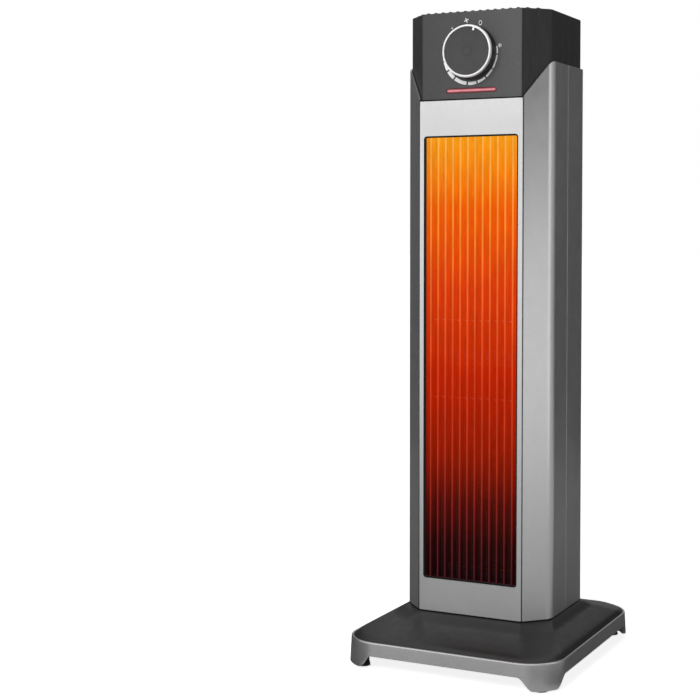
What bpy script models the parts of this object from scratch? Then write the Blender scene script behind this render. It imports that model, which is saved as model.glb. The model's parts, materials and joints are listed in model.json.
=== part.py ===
"""Portable tower fan heater, modelled piece by piece in metres with +Z up.

The origin is the centre of the base on the floor. The front of the heater faces -Y.
"""

import math

import bmesh
import bpy
from mathutils import Matrix, Vector

# Clearances and general values
GAP = 0.0003
OVERRUN = 0.004
BITE = 0.0004
MERGE_DISTANCE = 0.00001
SOFT_ANGLE = math.radians(32)
EDGE_ANGLE = math.radians(60)
FIT_CLEARANCE = 0.0008

# Tower plan and heights
TOWER_HALF_WIDTH = 0.0728
TOWER_HALF_DEPTH = 0.0585
CHAMFER_WIDTH = 0.0204
CHAMFER_DEPTH = 0.0226
SIDE_CORNER_RADIUS = 0.0055
FRONT_CORNER_RADIUS = 0.0012
REAR_CORNER_RADIUS = 0.012
TOWER_BOTTOM_Z = 0.0438
HEAD_TOP_Z = 0.6090
HEAD_HEIGHT = 0.0801
REVEAL = 0.001
FRONT_TOP_Z = HEAD_TOP_Z - HEAD_HEIGHT - REVEAL
EAR_RISE = 0.0335
EAR_TOP_Z = FRONT_TOP_Z + EAR_RISE
EAR_RUN = 0.0295
EAR_RADIUS = 0.005
WALL = 0.0022
SEAM_Y = 0.004

# Air outlet in the front housing and the louvre grille behind it
OPENING_SIDE_MARGIN = 0.0053
OPENING_HALF_WIDTH = TOWER_HALF_WIDTH - CHAMFER_WIDTH - OPENING_SIDE_MARGIN
OPENING_MARGIN = 0.0333
OPENING_BOTTOM_Z = TOWER_BOTTOM_Z + OPENING_MARGIN
OPENING_TOP_Z = FRONT_TOP_Z - OPENING_MARGIN
OPENING_RADIUS = 0.003
GRILLE_FLANGE = 0.004
GRILLE_FLANGE_THICKNESS = 0.0016
GRILLE_RIM_RECESS = 0.0012
GRILLE_RIM_WIDTH = 0.0019
SLAT_COUNT = 12
SLAT_MARGIN = 0.0061
SLAT_SPAN = 2 * (OPENING_HALF_WIDTH - SLAT_MARGIN)
SLAT_THICKNESS = 0.0015
SLAT_DEPTH = 0.0090
SLAT_RECESS = 0.0024
CROSS_RIB_HEIGHT = 0.0013
CROSS_RIB_DEPTH = 0.0050
CROSS_RIB_SPACING = 0.0730

# Control head
HEAD_FRONT_INSET = 0.0017
HEAD_WALL = 0.0024
HEAD_EDGE_ROUND = 0.0016
TOP_RIB_HEIGHT = 0.0010
TOP_RIB_WIDTH = 0.0026
TOP_RIB_PAIRS = 8
TOP_RIB_INSET = 0.0132
TOP_RIB_PITCH = (TOWER_HALF_WIDTH - TOP_RIB_INSET) / TOP_RIB_PAIRS
TOP_RIB_MARGIN = 0.0022

# Control knob, dial side first
KNOB_DROP = 0.0378
KNOB_Z = HEAD_TOP_Z - KNOB_DROP
KNOB_RADIUS = 0.0243
KNOB_HEIGHT = 0.0112
KNOB_DISH = 0.0012
KNOB_DISH_SHARES = ((0.0, 1.0), (0.35, 0.9), (0.75, 0.45))
KNOB_RING_WIDTH = 0.0021
KNOB_RING_DEPTH = 0.0022
KNOB_RING_FLAT_SHARE = 0.65
KNOB_SKIRT_DRAFT = 0.0004
KNOB_HOLLOW_WALL = 0.0022
KNOB_HUB_RADIUS = 0.0062
KNOB_HUB_LENGTH = 0.0060
KNOB_SOCKET_DEPTH = 0.0062
POINTER_LENGTH = 0.0036
POINTER_WIDTH = 0.0020
POINTER_PROUD = 0.0003
RING_PROUD = 0.0008
POINTER_ANGLE = math.radians(19)
SHAFT_RADIUS = 0.0030
SHAFT_FLAT = 0.0007
SHAFT_CLEARANCE = 0.00035

# Rotary switch behind the panel
SWITCH_HALF = 0.0170
SWITCH_DEPTH = 0.0190
SWITCH_CORNER_RADIUS = 0.0028
SWITCH_BUSH_RADIUS = 0.0050
SWITCH_BUSH_LENGTH = 0.0048
SWITCH_TAB_WIDTH = 0.0060
SWITCH_TAB_HEIGHT = 0.0070
SWITCH_TAB_THICKNESS = 0.0010
SWITCH_TAB_SPACING = 0.0100

# Indicator window
LENS_HALF_LENGTH = 0.0247
LENS_HALF_HEIGHT = 0.0019
LENS_RISE = 0.0082
LENS_Z = FRONT_TOP_Z + LENS_RISE
LENS_PROUD = 0.0003
LENS_FLANGE = 0.0012
LENS_FLANGE_THICKNESS = 0.0012
LENS_ROUND_SHARE = 0.98
LAMP_RADIUS = 0.0030
LAMP_LENGTH = 0.0200
LAMP_ROUND_SHARE = 0.6

# Base outline, silver skirt and dark top plate
BASE_HALF_WIDTH = 0.1052
BASE_HALF_DEPTH = 0.1222
BASE_CORNER_RADIUS = 0.0368
SKIRT_THICKNESS = 0.0024
SKIRT_FLARE = 0.0012
SKIRT_TOP_Z = 0.0268
SKIRT_BOTTOM_Z = 0.0141
FOOT_BOTTOM_Z = 0.0024
FOOT_HALF_FLAT = 0.0140
FOOT_RISE_RUN = 0.0170
PLATE_EDGE_Z = 0.0246
PLATE_WALL_BOTTOM_Z = 0.0150
PLATE_DROP = 0.0012
PLATE_TOP_Z = TOWER_BOTTOM_Z - PLATE_DROP
PLATE_ROLL = 0.0032
PLATE_ROLL_SHARE = 0.12
PLATE_RING_SHARES = (0.0, 0.03, 0.07, 0.12, 0.4, 0.7, 1.0)
PLATE_SLOPE_POWER = 0.9
PLATE_THICKNESS = 0.0024

# Feet and the legs that carry them
PAD_RADIUS = 0.0070
PAD_BRIM = 0.0008
PAD_BRIM_HEIGHT = 0.0020
PAD_FLOOR_ROUND = 0.0006
PAD_STEM_RADIUS = 0.0030
PAD_STEM_HEIGHT = 0.0060
PAD_BODY_HEIGHT = 0.0040
LEG_EMBED = 0.0012
LEG_CORE_RADIUS = 0.0040

# Screws between base and tower
BASE_SCREW_INSET_X = 0.0308
BASE_SCREW_INSET_Y = 0.0245
BASE_SCREW_X = TOWER_HALF_WIDTH - BASE_SCREW_INSET_X
BASE_SCREW_Y = TOWER_HALF_DEPTH - BASE_SCREW_INSET_Y
BASE_BOSS_RADIUS = 0.0052
BASE_BOSS_BOTTOM_Z = 0.0290
FLOOR_BOSS_RADIUS = 0.0046
FLOOR_BOSS_TOP_Z = 0.0560
SCREW_RADIUS = 0.0015
SCREW_CLEARANCE = 0.0003
SCREW_HEAD_RADIUS = 0.0032
SCREW_HEAD_HEIGHT = 0.0020
SCREW_DRIVE_RADIUS = 0.0012
SCREW_DRIVE_DEPTH = 0.0010
SCREW_CROWN_SHARE = 0.8

# Tower floor that shows as the dark reveal
FLOOR_LEDGE_INSET = 0.0010
FLOOR_THICKNESS = 0.0046
CABLE_HOLE_RADIUS = 0.0060
CABLE_HOLE_X = 0.0
CABLE_HOLE_Y = 0.0

# Housing screws and their posts
POST_INSET = 0.0148
POST_X = TOWER_HALF_WIDTH - POST_INSET
POST_RADIUS = 0.0046
POST_Z_SHARES = (0.035, 0.500, 0.912)
POST_FRONT_INSET = 0.0120
POST_FRONT_Y = POST_FRONT_INSET - TOWER_HALF_DEPTH
SCREW_SEAT_DEPTH = 0.0160
SCREW_SEAT_Y = SEAM_Y + SCREW_SEAT_DEPTH
SCREW_FRONT_REACH = 0.0120

# Heights of the duct's end plates and of the wheel between them
LOWER_SHELF_DROP = 0.0031
UPPER_SHELF_RISE = 0.0019
LOWER_SHELF_Z = OPENING_BOTTOM_Z - LOWER_SHELF_DROP
UPPER_SHELF_Z = OPENING_TOP_Z + UPPER_SHELF_RISE
WHEEL_LOW_CLEARANCE = 0.0060
WHEEL_HIGH_CLEARANCE = 0.0030
WHEEL_BOTTOM_Z = LOWER_SHELF_Z + WHEEL_LOW_CLEARANCE
WHEEL_TOP_Z = UPPER_SHELF_Z - WHEEL_HIGH_CLEARANCE

# Rear housing features
INTAKE_INSET = 0.0248
INTAKE_HALF_WIDTH = TOWER_HALF_WIDTH - INTAKE_INSET
INTAKE_LOW_MARGIN = 0.0380
INTAKE_HIGH_MARGIN = 0.0265
INTAKE_BOTTOM_Z = LOWER_SHELF_Z + INTAKE_LOW_MARGIN
INTAKE_TOP_Z = UPPER_SHELF_Z - INTAKE_HIGH_MARGIN
INTAKE_ROWS = 14
INTAKE_COLUMNS = 3
INTAKE_SLOT_SHARE = 0.46
INTAKE_RIB_WIDTH = 0.0030
HANDLE_INSET = 0.0288
HANDLE_HALF_WIDTH = TOWER_HALF_WIDTH - HANDLE_INSET
HANDLE_DROP = 0.0110
HANDLE_HEIGHT = 0.0290
HANDLE_TOP_Z = HEAD_TOP_Z - HANDLE_DROP
HANDLE_BOTTOM_Z = HANDLE_TOP_Z - HANDLE_HEIGHT
HANDLE_DEPTH = 0.0230
HANDLE_RADIUS = 0.0080

# Cord inlet
GLAND_RISE = 0.0222
GLAND_Z = TOWER_BOTTOM_Z + GLAND_RISE
GLAND_RADIUS = 0.0058
GLAND_FLANGE_RADIUS = 0.0082
GLAND_FLANGE_THICKNESS = 0.0022
GLAND_BORE_RADIUS = 0.0034
GLAND_NECK_LENGTH = 0.0120
GLAND_TIP_RADIUS = 0.0048

# Blower, its duct and its motor
BLOWER_X = 0.0
BLOWER_INSET = 0.0385
BLOWER_Y = TOWER_HALF_DEPTH - BLOWER_INSET
WHEEL_RADIUS = 0.0262
WHEEL_INNER_RADIUS = 0.0185
WHEEL_DISC_THICKNESS = 0.0016
WHEEL_DISC_MARGIN = 0.0006
BLADE_COUNT = 16
BLADE_THICKNESS = 0.0010
BLADE_SWEEP = math.radians(24)
BLADE_BOW = 0.0022
WHEEL_HUB_RADIUS = 0.0065
WHEEL_HUB_HEIGHT = 0.0120
STUB_RADIUS = 0.0025
STUB_LENGTH = 0.0090
MOTOR_SHAFT_RADIUS = 0.0025
MOTOR_SHAFT_CLEARANCE = 0.0004
BEARING_RADIUS = 0.0064
BEARING_FLANGE_RADIUS = 0.0092
BEARING_FLANGE_THICKNESS = 0.0014
BEARING_LENGTH = 0.0048
SHELF_THICKNESS = 0.0024
SHELF_INSET = 0.0125
SHELF_FRONT_Y = SHELF_INSET - TOWER_HALF_DEPTH
DUCT_WALL = 0.0020
DUCT_CLEARANCE = 0.0034
DUCT_GROWTH = 0.0062
DUCT_START = math.radians(90)
DUCT_END = math.radians(180)
CARRIER_SIDE_MARGIN = 0.0031
CARRIER_HALF_WIDTH = OPENING_HALF_WIDTH - CARRIER_SIDE_MARGIN
DUCT_MOUTH_MARGIN = 0.0070
DUCT_HALF_MOUTH = CARRIER_HALF_WIDTH - DUCT_MOUTH_MARGIN
DUCT_MOUTH_REACH = 0.0350
DUCT_MOUTH_Y = BLOWER_Y - DUCT_MOUTH_REACH
TONGUE_ANGLE = math.radians(-24)
TONGUE_CLEARANCE = 0.0026
WIRE_SLOT_INSET = 0.0063
WIRE_SLOT_X = TOWER_HALF_WIDTH - WIRE_SLOT_INSET
WIRE_SLOT_Y = -0.0110
WIRE_SLOT_HALF_WIDTH = 0.0022
WIRE_SLOT_HALF_DEPTH = 0.0052
MOTOR_RADIUS = 0.0220
MOTOR_HEIGHT = 0.0215
MOTOR_NECK_RADIUS = 0.0082
MOTOR_NECK_HEIGHT = 0.0040
MOTOR_ROUND = 0.0020
MOTOR_LUG_RADIUS = 0.0055
MOTOR_LUG_THICKNESS = 0.0016
MOTOR_LUG_COUNT = 3
MOTOR_LUG_SHARE = 0.3

# Heating elements and their carrier
CARRIER_DEPTH = 0.0140
CARRIER_BORDER = 0.0060
CARRIER_BRIDGE = 0.0080
ELEMENT_DEPTH = 0.0100
ELEMENT_BAR = 0.0030
ELEMENT_EDGE = 0.0020
ELEMENT_COLUMNS = 2
ELEMENT_CELLS = 12
FIN_SHARE = 0.13
CUTOUT_RADIUS = 0.0070
CUTOUT_LENGTH = 0.0075
CUTOUT_SEAT_RADIUS = 0.0060
CUTOUT_SEAT_THICKNESS = 0.0014
CUTOUT_Z_SHARE = 0.82

# Terminal block and leads
BLOCK_HALF_LENGTH = 0.0180
BLOCK_HALF_DEPTH = 0.0070
BLOCK_HEIGHT = 0.0120
BLOCK_INSET = 0.0438
BLOCK_X = BLOCK_INSET - TOWER_HALF_WIDTH
BLOCK_Y = WIRE_SLOT_Y
BLOCK_SCREW_RADIUS = 0.0022
BLOCK_SCREW_COUNT = 3
BLOCK_WELL_SHARE = 0.4
LEAD_RADIUS = 0.0010
LEAD_SPACING = 0.0030
LEAD_BEND = 0.0060
LEAD_RISE = 0.0241
LEAD_TOP_Z = FRONT_TOP_Z + LEAD_RISE

# Tip-over switch under the base plate
TIP_INSET = 0.0015
TIP_Y = TIP_INSET - TOWER_HALF_DEPTH
TIP_X = 0.0
TIP_HALF_WIDTH = 0.0080
TIP_HALF_DEPTH = 0.0050
TIP_BOTTOM_Z = 0.0135
TIP_TOP_Z = 0.0290
TIP_BORE_TOP_Z = 0.0270
PLUNGER_RADIUS = 0.0028
PLUNGER_FOOT_RADIUS = 0.0048
PLUNGER_FOOT_HEIGHT = 0.0030
PLUNGER_CLEARANCE = 0.0004
PLUNGER_TOP_Z = 0.0240

# Roundness
FINE_STEPS = 40
MEDIUM_STEPS = 18
SMALL_STEPS = 12
CORNER_STEPS = 5
SCREW_STEPS = 8
ROUND_STEPS = 16
BASE_CORNER_STEPS = 5
TOWER_CORNER_STEPS = 3
CAPSULE_STEPS = 4
LIP_STEPS = 4
SHAFT_STEPS = 16
SCROLL_STEPS = 8
BLADE_STEPS = 2
SLAT_NOSE_STEPS = 3
EDGE_SEGMENTS = 2


def clear_scene():
    """Remove every object that the session starts with."""
    for old in list(bpy.data.objects):
        bpy.data.objects.remove(old, do_unlink=True)


def new_collection(name):
    """Make a collection and link it to the scene."""
    group = bpy.data.collections.new(name)
    bpy.context.scene.collection.children.link(group)
    return group


clear_scene()
HEATER = new_collection("tower_heater")
CUTTERS = new_collection("cutters")


def make_material(name, colour, roughness, metallic=0.0, emission=0.0):
    """A Principled material with the colour, roughness and metallic value read from the photo."""
    finish = bpy.data.materials.new(name)
    finish.use_nodes = True
    shader = finish.node_tree.nodes["Principled BSDF"]
    shader.inputs["Base Color"].default_value = (*colour, 1.0)
    shader.inputs["Roughness"].default_value = roughness
    shader.inputs["Metallic"].default_value = metallic
    if emission:
        shader.inputs["Emission Color"].default_value = (*colour, 1.0)
        shader.inputs["Emission Strength"].default_value = emission
    finish.diffuse_color = (*colour, 1.0)
    return finish


def finish_object(obj, finish):
    """Give a finished piece its material and put it in the heater's collection."""
    obj.data.materials.clear()
    obj.data.materials.append(finish)
    HEATER.objects.link(obj)
    return obj


def hide_as_guide(obj):
    """Put a cutting or joining shape in the cutters' collection."""
    CUTTERS.objects.link(obj)
    obj.hide_render = True
    obj.display_type = "WIRE"
    return obj


def smooth_round(obj):
    """Shade a round piece smooth and keep its real edges sharp."""
    for face in obj.data.polygons:
        face.use_smooth = True
    obj.data.set_sharp_from_angle(angle=SOFT_ANGLE)
    return obj


def fillet_corner(before, corner, after, radius, steps):
    """Points of the arc that rounds one corner of an outline."""
    here = Vector(corner)
    towards = (Vector(before) - here).normalized()
    away = (Vector(after) - here).normalized()
    half = towards.angle(away) / 2
    bisector = (towards + away).normalized()
    centre = here + bisector * (radius / math.sin(half))
    reach = radius / math.tan(half)
    start = here + towards * reach - centre
    end = here + away * reach - centre
    sweep = start.angle_signed(end)
    return [tuple(centre + Matrix.Rotation(-sweep * step / steps, 2) @ start) for step in range(steps + 1)]


def rounded_path(corners, closed=True, steps=CORNER_STEPS):
    """Outline through (x, y, radius) corners, with each radius above zero drawn as an arc."""
    points = []
    count = len(corners)
    for index, (x, y, radius) in enumerate(corners):
        inside = closed or 0 < index < count - 1
        if radius > 0 and inside:
            before = corners[index - 1][:2]
            after = corners[(index + 1) % count][:2]
            points += fillet_corner(before, (x, y), after, radius, steps)
        else:
            points.append((x, y))
    return points


def rectangle(low_x, low_y, high_x, high_y, radius=0.0, steps=CORNER_STEPS):
    """Rectangle outline with optional round corners."""
    corners = [
        (low_x, low_y, radius),
        (high_x, low_y, radius),
        (high_x, high_y, radius),
        (low_x, high_y, radius),
    ]
    return rounded_path(corners, steps=steps)


def circle(x, y, radius, steps=MEDIUM_STEPS):
    """Circle outline."""
    turn = 2 * math.pi / steps
    return [(x + radius * math.cos(turn * k), y + radius * math.sin(turn * k)) for k in range(steps)]


AXIS_TURNS = {
    "Z": Matrix.Identity(4),
    "Y": Matrix(((1, 0, 0, 0), (0, 0, -1, 0), (0, 1, 0, 0), (0, 0, 0, 1))),
    "X": Matrix(((0, 0, 1, 0), (1, 0, 0, 0), (0, 1, 0, 0), (0, 0, 0, 1))),
}


def mesh_object(name, build):
    """Object whose mesh is filled by a function that works on a bmesh."""
    mesh = bpy.data.meshes.new(name)
    shape = bmesh.new()
    build(shape)
    shape.to_mesh(mesh)
    shape.free()
    return bpy.data.objects.new(name, mesh)


def merge_close(shape):
    """Join the points that a curve leaves doubled."""
    bmesh.ops.remove_doubles(shape, verts=shape.verts, dist=MERGE_DISTANCE)


def extruded(name, loops, low, high, axis="Z"):
    """Solid from flat outlines, with inner outlines as holes, between two places along an axis."""
    curve = bpy.data.curves.new(name + "_outline", "CURVE")
    curve.dimensions = "2D"
    curve.fill_mode = "BOTH"
    curve.extrude = (high - low) / 2
    for loop in loops:
        spline = curve.splines.new("POLY")
        spline.points.add(len(loop) - 1)
        for point, (x, y) in zip(spline.points, loop):
            point.co = (x, y, 0, 1)
        spline.use_cyclic_u = True
    source = bpy.data.objects.new(name + "_outline", curve)
    bpy.context.scene.collection.objects.link(source)
    bpy.context.view_layer.update()
    mesh = bpy.data.meshes.new_from_object(source.evaluated_get(bpy.context.evaluated_depsgraph_get()))
    bpy.data.objects.remove(source)
    mesh.name = name
    middle = (low + high) / 2 * (-1 if axis == "Y" else 1)
    shape = bmesh.new()
    shape.from_mesh(mesh)
    merge_close(shape)
    place = AXIS_TURNS[axis] @ Matrix.Translation((0, 0, middle))
    bmesh.ops.transform(shape, matrix=place, verts=shape.verts)
    bmesh.ops.recalc_face_normals(shape, faces=shape.faces)
    shape.to_mesh(mesh)
    shape.free()
    mesh.materials.clear()
    return bpy.data.objects.new(name, mesh)


def turned(name, profile, steps=MEDIUM_STEPS, closed=False, place=(0, 0, 0), facing_front=False):
    """Turned solid from an (r, z) profile that runs down its outer side, about Z or towards the front."""

    def build(shape):
        points = [shape.verts.new((radius, 0, height)) for radius, height in profile]
        pairs = list(zip(points, points[1:]))
        if closed:
            pairs.append((points[-1], points[0]))
        for first, second in pairs:
            shape.edges.new((first, second))

    obj = mesh_object(name, build)
    screw = obj.modifiers.new("turn", "SCREW")
    screw.steps = steps
    screw.render_steps = steps
    screw.use_merge_vertices = True
    screw.merge_threshold = MERGE_DISTANCE
    screw.use_smooth_shade = False
    obj.location = place
    if facing_front:
        obj.rotation_euler = (math.pi / 2, 0, 0)
    return obj


def boxes(name, extents):
    """One mesh with a box for each (low corner, high corner) pair."""

    def build(shape):
        for low, high in extents:
            size = [b - a for a, b in zip(low, high)]
            centre = [(a + b) / 2 for a, b in zip(low, high)]
            matrix = Matrix.Translation(centre) @ Matrix.Diagonal((*size, 1))
            bmesh.ops.create_cube(shape, size=1, matrix=matrix)

    return mesh_object(name, build)


def rods(name, lines, steps=SMALL_STEPS):
    """One mesh with a cylinder for each (start, end, radius) line."""

    def build(shape):
        for start, end, radius in lines:
            first, last = Vector(start), Vector(end)
            run = last - first
            turn = Vector((0, 0, 1)).rotation_difference(run).to_matrix().to_4x4()
            matrix = Matrix.Translation((first + last) / 2) @ turn
            bmesh.ops.create_cone(
                shape,
                cap_ends=True,
                segments=steps,
                radius1=radius,
                radius2=radius,
                depth=run.length,
                matrix=matrix,
            )

    return mesh_object(name, build)


def combine(obj, other, operation, name):
    """Add an exact Boolean that joins or cuts with a guide shape."""
    if other.name not in CUTTERS.objects:
        hide_as_guide(other)
    step = obj.modifiers.new(name, "BOOLEAN")
    step.operation = operation
    step.solver = "EXACT"
    step.object = other
    return obj


def cut(obj, other, name="cut"):
    """Cut a guide shape out of a piece."""
    return combine(obj, other, "DIFFERENCE", name)


def join(obj, other, name="join"):
    """Fuse a guide shape to a piece."""
    return combine(obj, other, "UNION", name)


def tower_corners(side_inset, front_inset):
    """Front corner and side corner of the tower's +X half, set in by the given distances."""
    normal = Vector((CHAMFER_DEPTH, -CHAMFER_WIDTH)).normalized()
    front = Vector((TOWER_HALF_WIDTH - CHAMFER_WIDTH, -TOWER_HALF_DEPTH))
    level = normal.dot(front) - side_inset
    front_y = -TOWER_HALF_DEPTH + front_inset
    side_x = TOWER_HALF_WIDTH - side_inset
    front_x = (level - normal.y * front_y) / normal.x
    side_y = (level - normal.x * side_x) / normal.y
    return (front_x, front_y), (side_x, side_y)


def tower_outline(side_inset, front_inset, front_radius=FRONT_CORNER_RADIUS, start_y=None):
    """Closed plan of the tower set in from its outside, or its front part ending at start_y."""
    front, side = tower_corners(side_inset, front_inset)
    side_radius = max(SIDE_CORNER_RADIUS - side_inset, FRONT_CORNER_RADIUS)
    half = [(front[0], front[1], front_radius), (side[0], side[1], side_radius)]
    if start_y is None:
        rear_y = TOWER_HALF_DEPTH - side_inset
        half.append((side[0], rear_y, REAR_CORNER_RADIUS - side_inset))
    else:
        half.append((side[0], start_y, 0.0))
    mirrored = [(-x, y, radius) for x, y, radius in reversed(half)]
    return rounded_path(mirrored + half, closed=start_y is None, steps=TOWER_CORNER_STEPS)


def rear_outline(inset):
    """Open plan of the rear housing set in from its outside, from one side of the seam to the other."""
    start_y = SEAM_Y + GAP
    side_x = TOWER_HALF_WIDTH - inset
    rear_y = TOWER_HALF_DEPTH - inset
    half = [(side_x, start_y, 0.0), (side_x, rear_y, REAR_CORNER_RADIUS - inset)]
    mirrored = [(-x, y, radius) for x, y, radius in reversed(half)]
    return rounded_path(half + mirrored, closed=False)


def wall(name, outer, inner, low, high):
    """Upright shell between an outer and an inner open plan."""
    return extruded(name, [outer + list(reversed(inner))], low, high)


def post_heights():
    """Heights of the housing screws, as shares of the tower's height."""
    rise = EAR_TOP_Z - TOWER_BOTTOM_Z
    return [TOWER_BOTTOM_Z + rise * share for share in POST_Z_SHARES]


def loft(name, rings, cap_first=True, cap_last=True):
    """Closed or open surface through rings of the same number of points."""

    def build(shape):
        rows = [[shape.verts.new(point) for point in ring] for ring in rings]
        for lower, upper in zip(rows, rows[1:]):
            count = len(lower)
            for k in range(count):
                after = (k + 1) % count
                shape.faces.new((lower[k], lower[after], upper[after], upper[k]))
        if cap_first:
            shape.faces.new(list(reversed(rows[0])))
        if cap_last:
            shape.faces.new(rows[-1])
        bmesh.ops.recalc_face_normals(shape, faces=shape.faces)

    return mesh_object(name, build)


# Finishes read from the photo
SILVER = make_material("tower_silver_paint", (0.50, 0.50, 0.51), 0.34, 0.75)
SKIRT_SILVER = make_material("skirt_silver_paint", (0.34, 0.34, 0.35), 0.36, 0.70)
CHARCOAL = make_material("charcoal_textured_plastic", (0.060, 0.060, 0.062), 0.62)
BASE_DARK = make_material("base_dark_plastic", (0.030, 0.030, 0.031), 0.50)
BLACK = make_material("grille_black_plastic", (0.012, 0.011, 0.011), 0.42)
KNOB_BLACK = make_material("knob_black_plastic", (0.010, 0.010, 0.011), 0.38)
WHITE = make_material("knob_ring_white", (0.82, 0.82, 0.82), 0.35)
RED_LENS = make_material("indicator_red_lens", (0.55, 0.10, 0.12), 0.25, emission=0.8)
LAMP_GLASS = make_material("indicator_lamp_glass", (0.95, 0.45, 0.25), 0.15, emission=1.0)
FIN_METAL = make_material("heating_element_aluminium", (0.75, 0.20, 0.04), 0.45, 0.6, emission=1.2)
CARRIER_GREY = make_material("element_carrier_resin", (0.050, 0.047, 0.045), 0.60)
DUCT_GREY = make_material("duct_grey_plastic", (0.13, 0.13, 0.135), 0.55)
WHEEL_GREY = make_material("blower_wheel_plastic", (0.20, 0.20, 0.21), 0.45)
STEEL = make_material("plain_steel", (0.55, 0.55, 0.56), 0.35, 1.0)
BRONZE = make_material("bearing_bronze", (0.42, 0.27, 0.12), 0.40, 1.0)
MOTOR_STEEL = make_material("motor_zinc_plate", (0.45, 0.46, 0.47), 0.42, 0.9)
RUBBER = make_material("foot_rubber", (0.010, 0.010, 0.010), 0.85)
SWITCH_CREAM = make_material("switch_cream_resin", (0.62, 0.58, 0.48), 0.50)
LEAD_RED = make_material("lead_silicone", (0.35, 0.02, 0.015), 0.55)


def smooth_step(share):
    """Ease from 0 to 1 with level ends."""
    held = min(max(share, 0.0), 1.0)
    return held * held * (3 - 2 * held)


def base_stations(foot_detail):
    """Places around the base as (x, y, outward x, outward y, distance from the corner's middle)."""
    radius = BASE_CORNER_RADIUS
    half_arc = radius * math.pi / 4
    centre_x = BASE_HALF_WIDTH - radius
    centre_y = BASE_HALF_DEPTH - radius
    stations = []
    for quarter in range(4):
        side_x = 1 if quarter in (0, 3) else -1
        side_y = 1 if quarter < 2 else -1
        begin = quarter * math.pi / 2
        if foot_detail:
            extra = max(FOOT_HALF_FLAT + FOOT_RISE_RUN - half_arc, GAP)
            before = [-half_arc - extra]
            after = [half_arc + extra]
        else:
            before, after = [], []
        steps = 2 * BASE_CORNER_STEPS + 4 if foot_detail else BASE_CORNER_STEPS
        along = before + [half_arc * (2 * k / steps - 1) for k in range(steps + 1)] + after
        for reach in along:
            held = min(max(reach, -half_arc), half_arc)
            angle = begin + math.pi / 4 + held / radius
            normal = Vector((math.cos(angle), math.sin(angle)))
            tangent = Vector((-normal.y, normal.x))
            point = Vector((side_x * centre_x, side_y * centre_y)) + normal * radius
            point += tangent * (reach - held)
            stations.append((point.x, point.y, normal.x, normal.y, abs(reach)))
    return stations


def base_skirt():
    """Silver skirt whose lower edge drops in an S-curve to a foot at each corner."""
    half = SKIRT_THICKNESS / 2
    lip_z = SKIRT_TOP_Z - half
    rings = []
    for x, y, out_x, out_y, reach in base_stations(True):
        rise = smooth_step((reach - FOOT_HALF_FLAT) / FOOT_RISE_RUN)
        low_z = FOOT_BOTTOM_Z + (SKIRT_BOTTOM_Z - FOOT_BOTTOM_Z) * rise
        section = [(-SKIRT_THICKNESS, low_z), (-SKIRT_THICKNESS, lip_z)]
        for k in range(1, LIP_STEPS):
            turn = math.pi * (1 - k / LIP_STEPS)
            section.append((-half + half * math.cos(turn), lip_z + half * math.sin(turn)))
        section += [(0.0, lip_z), (SKIRT_FLARE * (lip_z - low_z) / (lip_z - FOOT_BOTTOM_Z), low_z)]
        rings.append([(x + out_x * off, y + out_y * off, z) for off, z in section])
    obj = loft("base_skirt", rings + [rings[0]], cap_first=False, cap_last=False)
    shape = bmesh.new()
    shape.from_mesh(obj.data)
    merge_close(shape)
    bmesh.ops.recalc_face_normals(shape, faces=shape.faces)
    shape.to_mesh(obj.data)
    shape.free()
    return smooth_round(finish_object(obj, SKIRT_SILVER))


def tower_foot_points(per_corner):
    """Tower's plan as one run of points for each corner, in the order of the base's corners."""
    front, side = tower_corners(0.0, 0.0)
    radius = REAR_CORNER_RADIUS
    rear = Vector((TOWER_HALF_WIDTH - radius, TOWER_HALF_DEPTH - radius))
    steps = per_corner - 1
    arc = []
    chamfer = []
    for k in range(per_corner):
        turn = math.pi / 2 * k / steps
        arc.append((rear.x + radius * math.cos(turn), rear.y + radius * math.sin(turn)))
        chamfer.append(tuple(Vector(front).lerp(Vector(side), k / steps)))
    arc_left = [(-x, y) for x, y in reversed(arc)]
    chamfer_left = [(-x, y) for x, y in reversed(chamfer)]
    return arc + arc_left + chamfer_left + chamfer


def plate_height(share):
    """Height of the base plate's top at a share of the way from its edge to the tower."""
    rolled = 1 - (1 - min(share / PLATE_ROLL_SHARE, 1.0)) ** 2
    slope = PLATE_TOP_Z - PLATE_EDGE_Z - PLATE_ROLL
    return PLATE_EDGE_Z + PLATE_ROLL * rolled + slope * share ** PLATE_SLOPE_POWER


def plate_ring(inset, share, height):
    """One ring of the base plate between its edge and the tower's plan."""
    edge = [(x - out_x * inset, y - out_y * inset) for x, y, out_x, out_y, _ in base_stations(False)]
    tower = tower_foot_points(BASE_CORNER_STEPS + 1)
    return [
        (ex + (tx - ex) * share, ey + (ty - ey) * share, height)
        for (ex, ey), (tx, ty) in zip(edge, tower)
    ]


CORNER_NAMES = ("rear_right", "rear_left", "front_left", "front_right")


def corner_signs():
    """Signs of x and y for the four corners."""
    return [(1, 1), (-1, 1), (-1, -1), (1, -1)]


def pad_centres(back=0.0):
    """Plan positions of the four foot pads, or of places a distance back from them."""
    inside = BASE_CORNER_RADIUS - SKIRT_THICKNESS - 2 * GAP
    out = (inside - PAD_RADIUS - back) / math.sqrt(2)
    reach_x = BASE_HALF_WIDTH - BASE_CORNER_RADIUS + out
    reach_y = BASE_HALF_DEPTH - BASE_CORNER_RADIUS + out
    return [(sx * reach_x, sy * reach_y) for sx, sy in corner_signs()]


def base_screw_places():
    """Plan positions of the screws between base and tower."""
    return [(sx * BASE_SCREW_X, sy * BASE_SCREW_Y) for sx, sy in corner_signs()]


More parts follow.
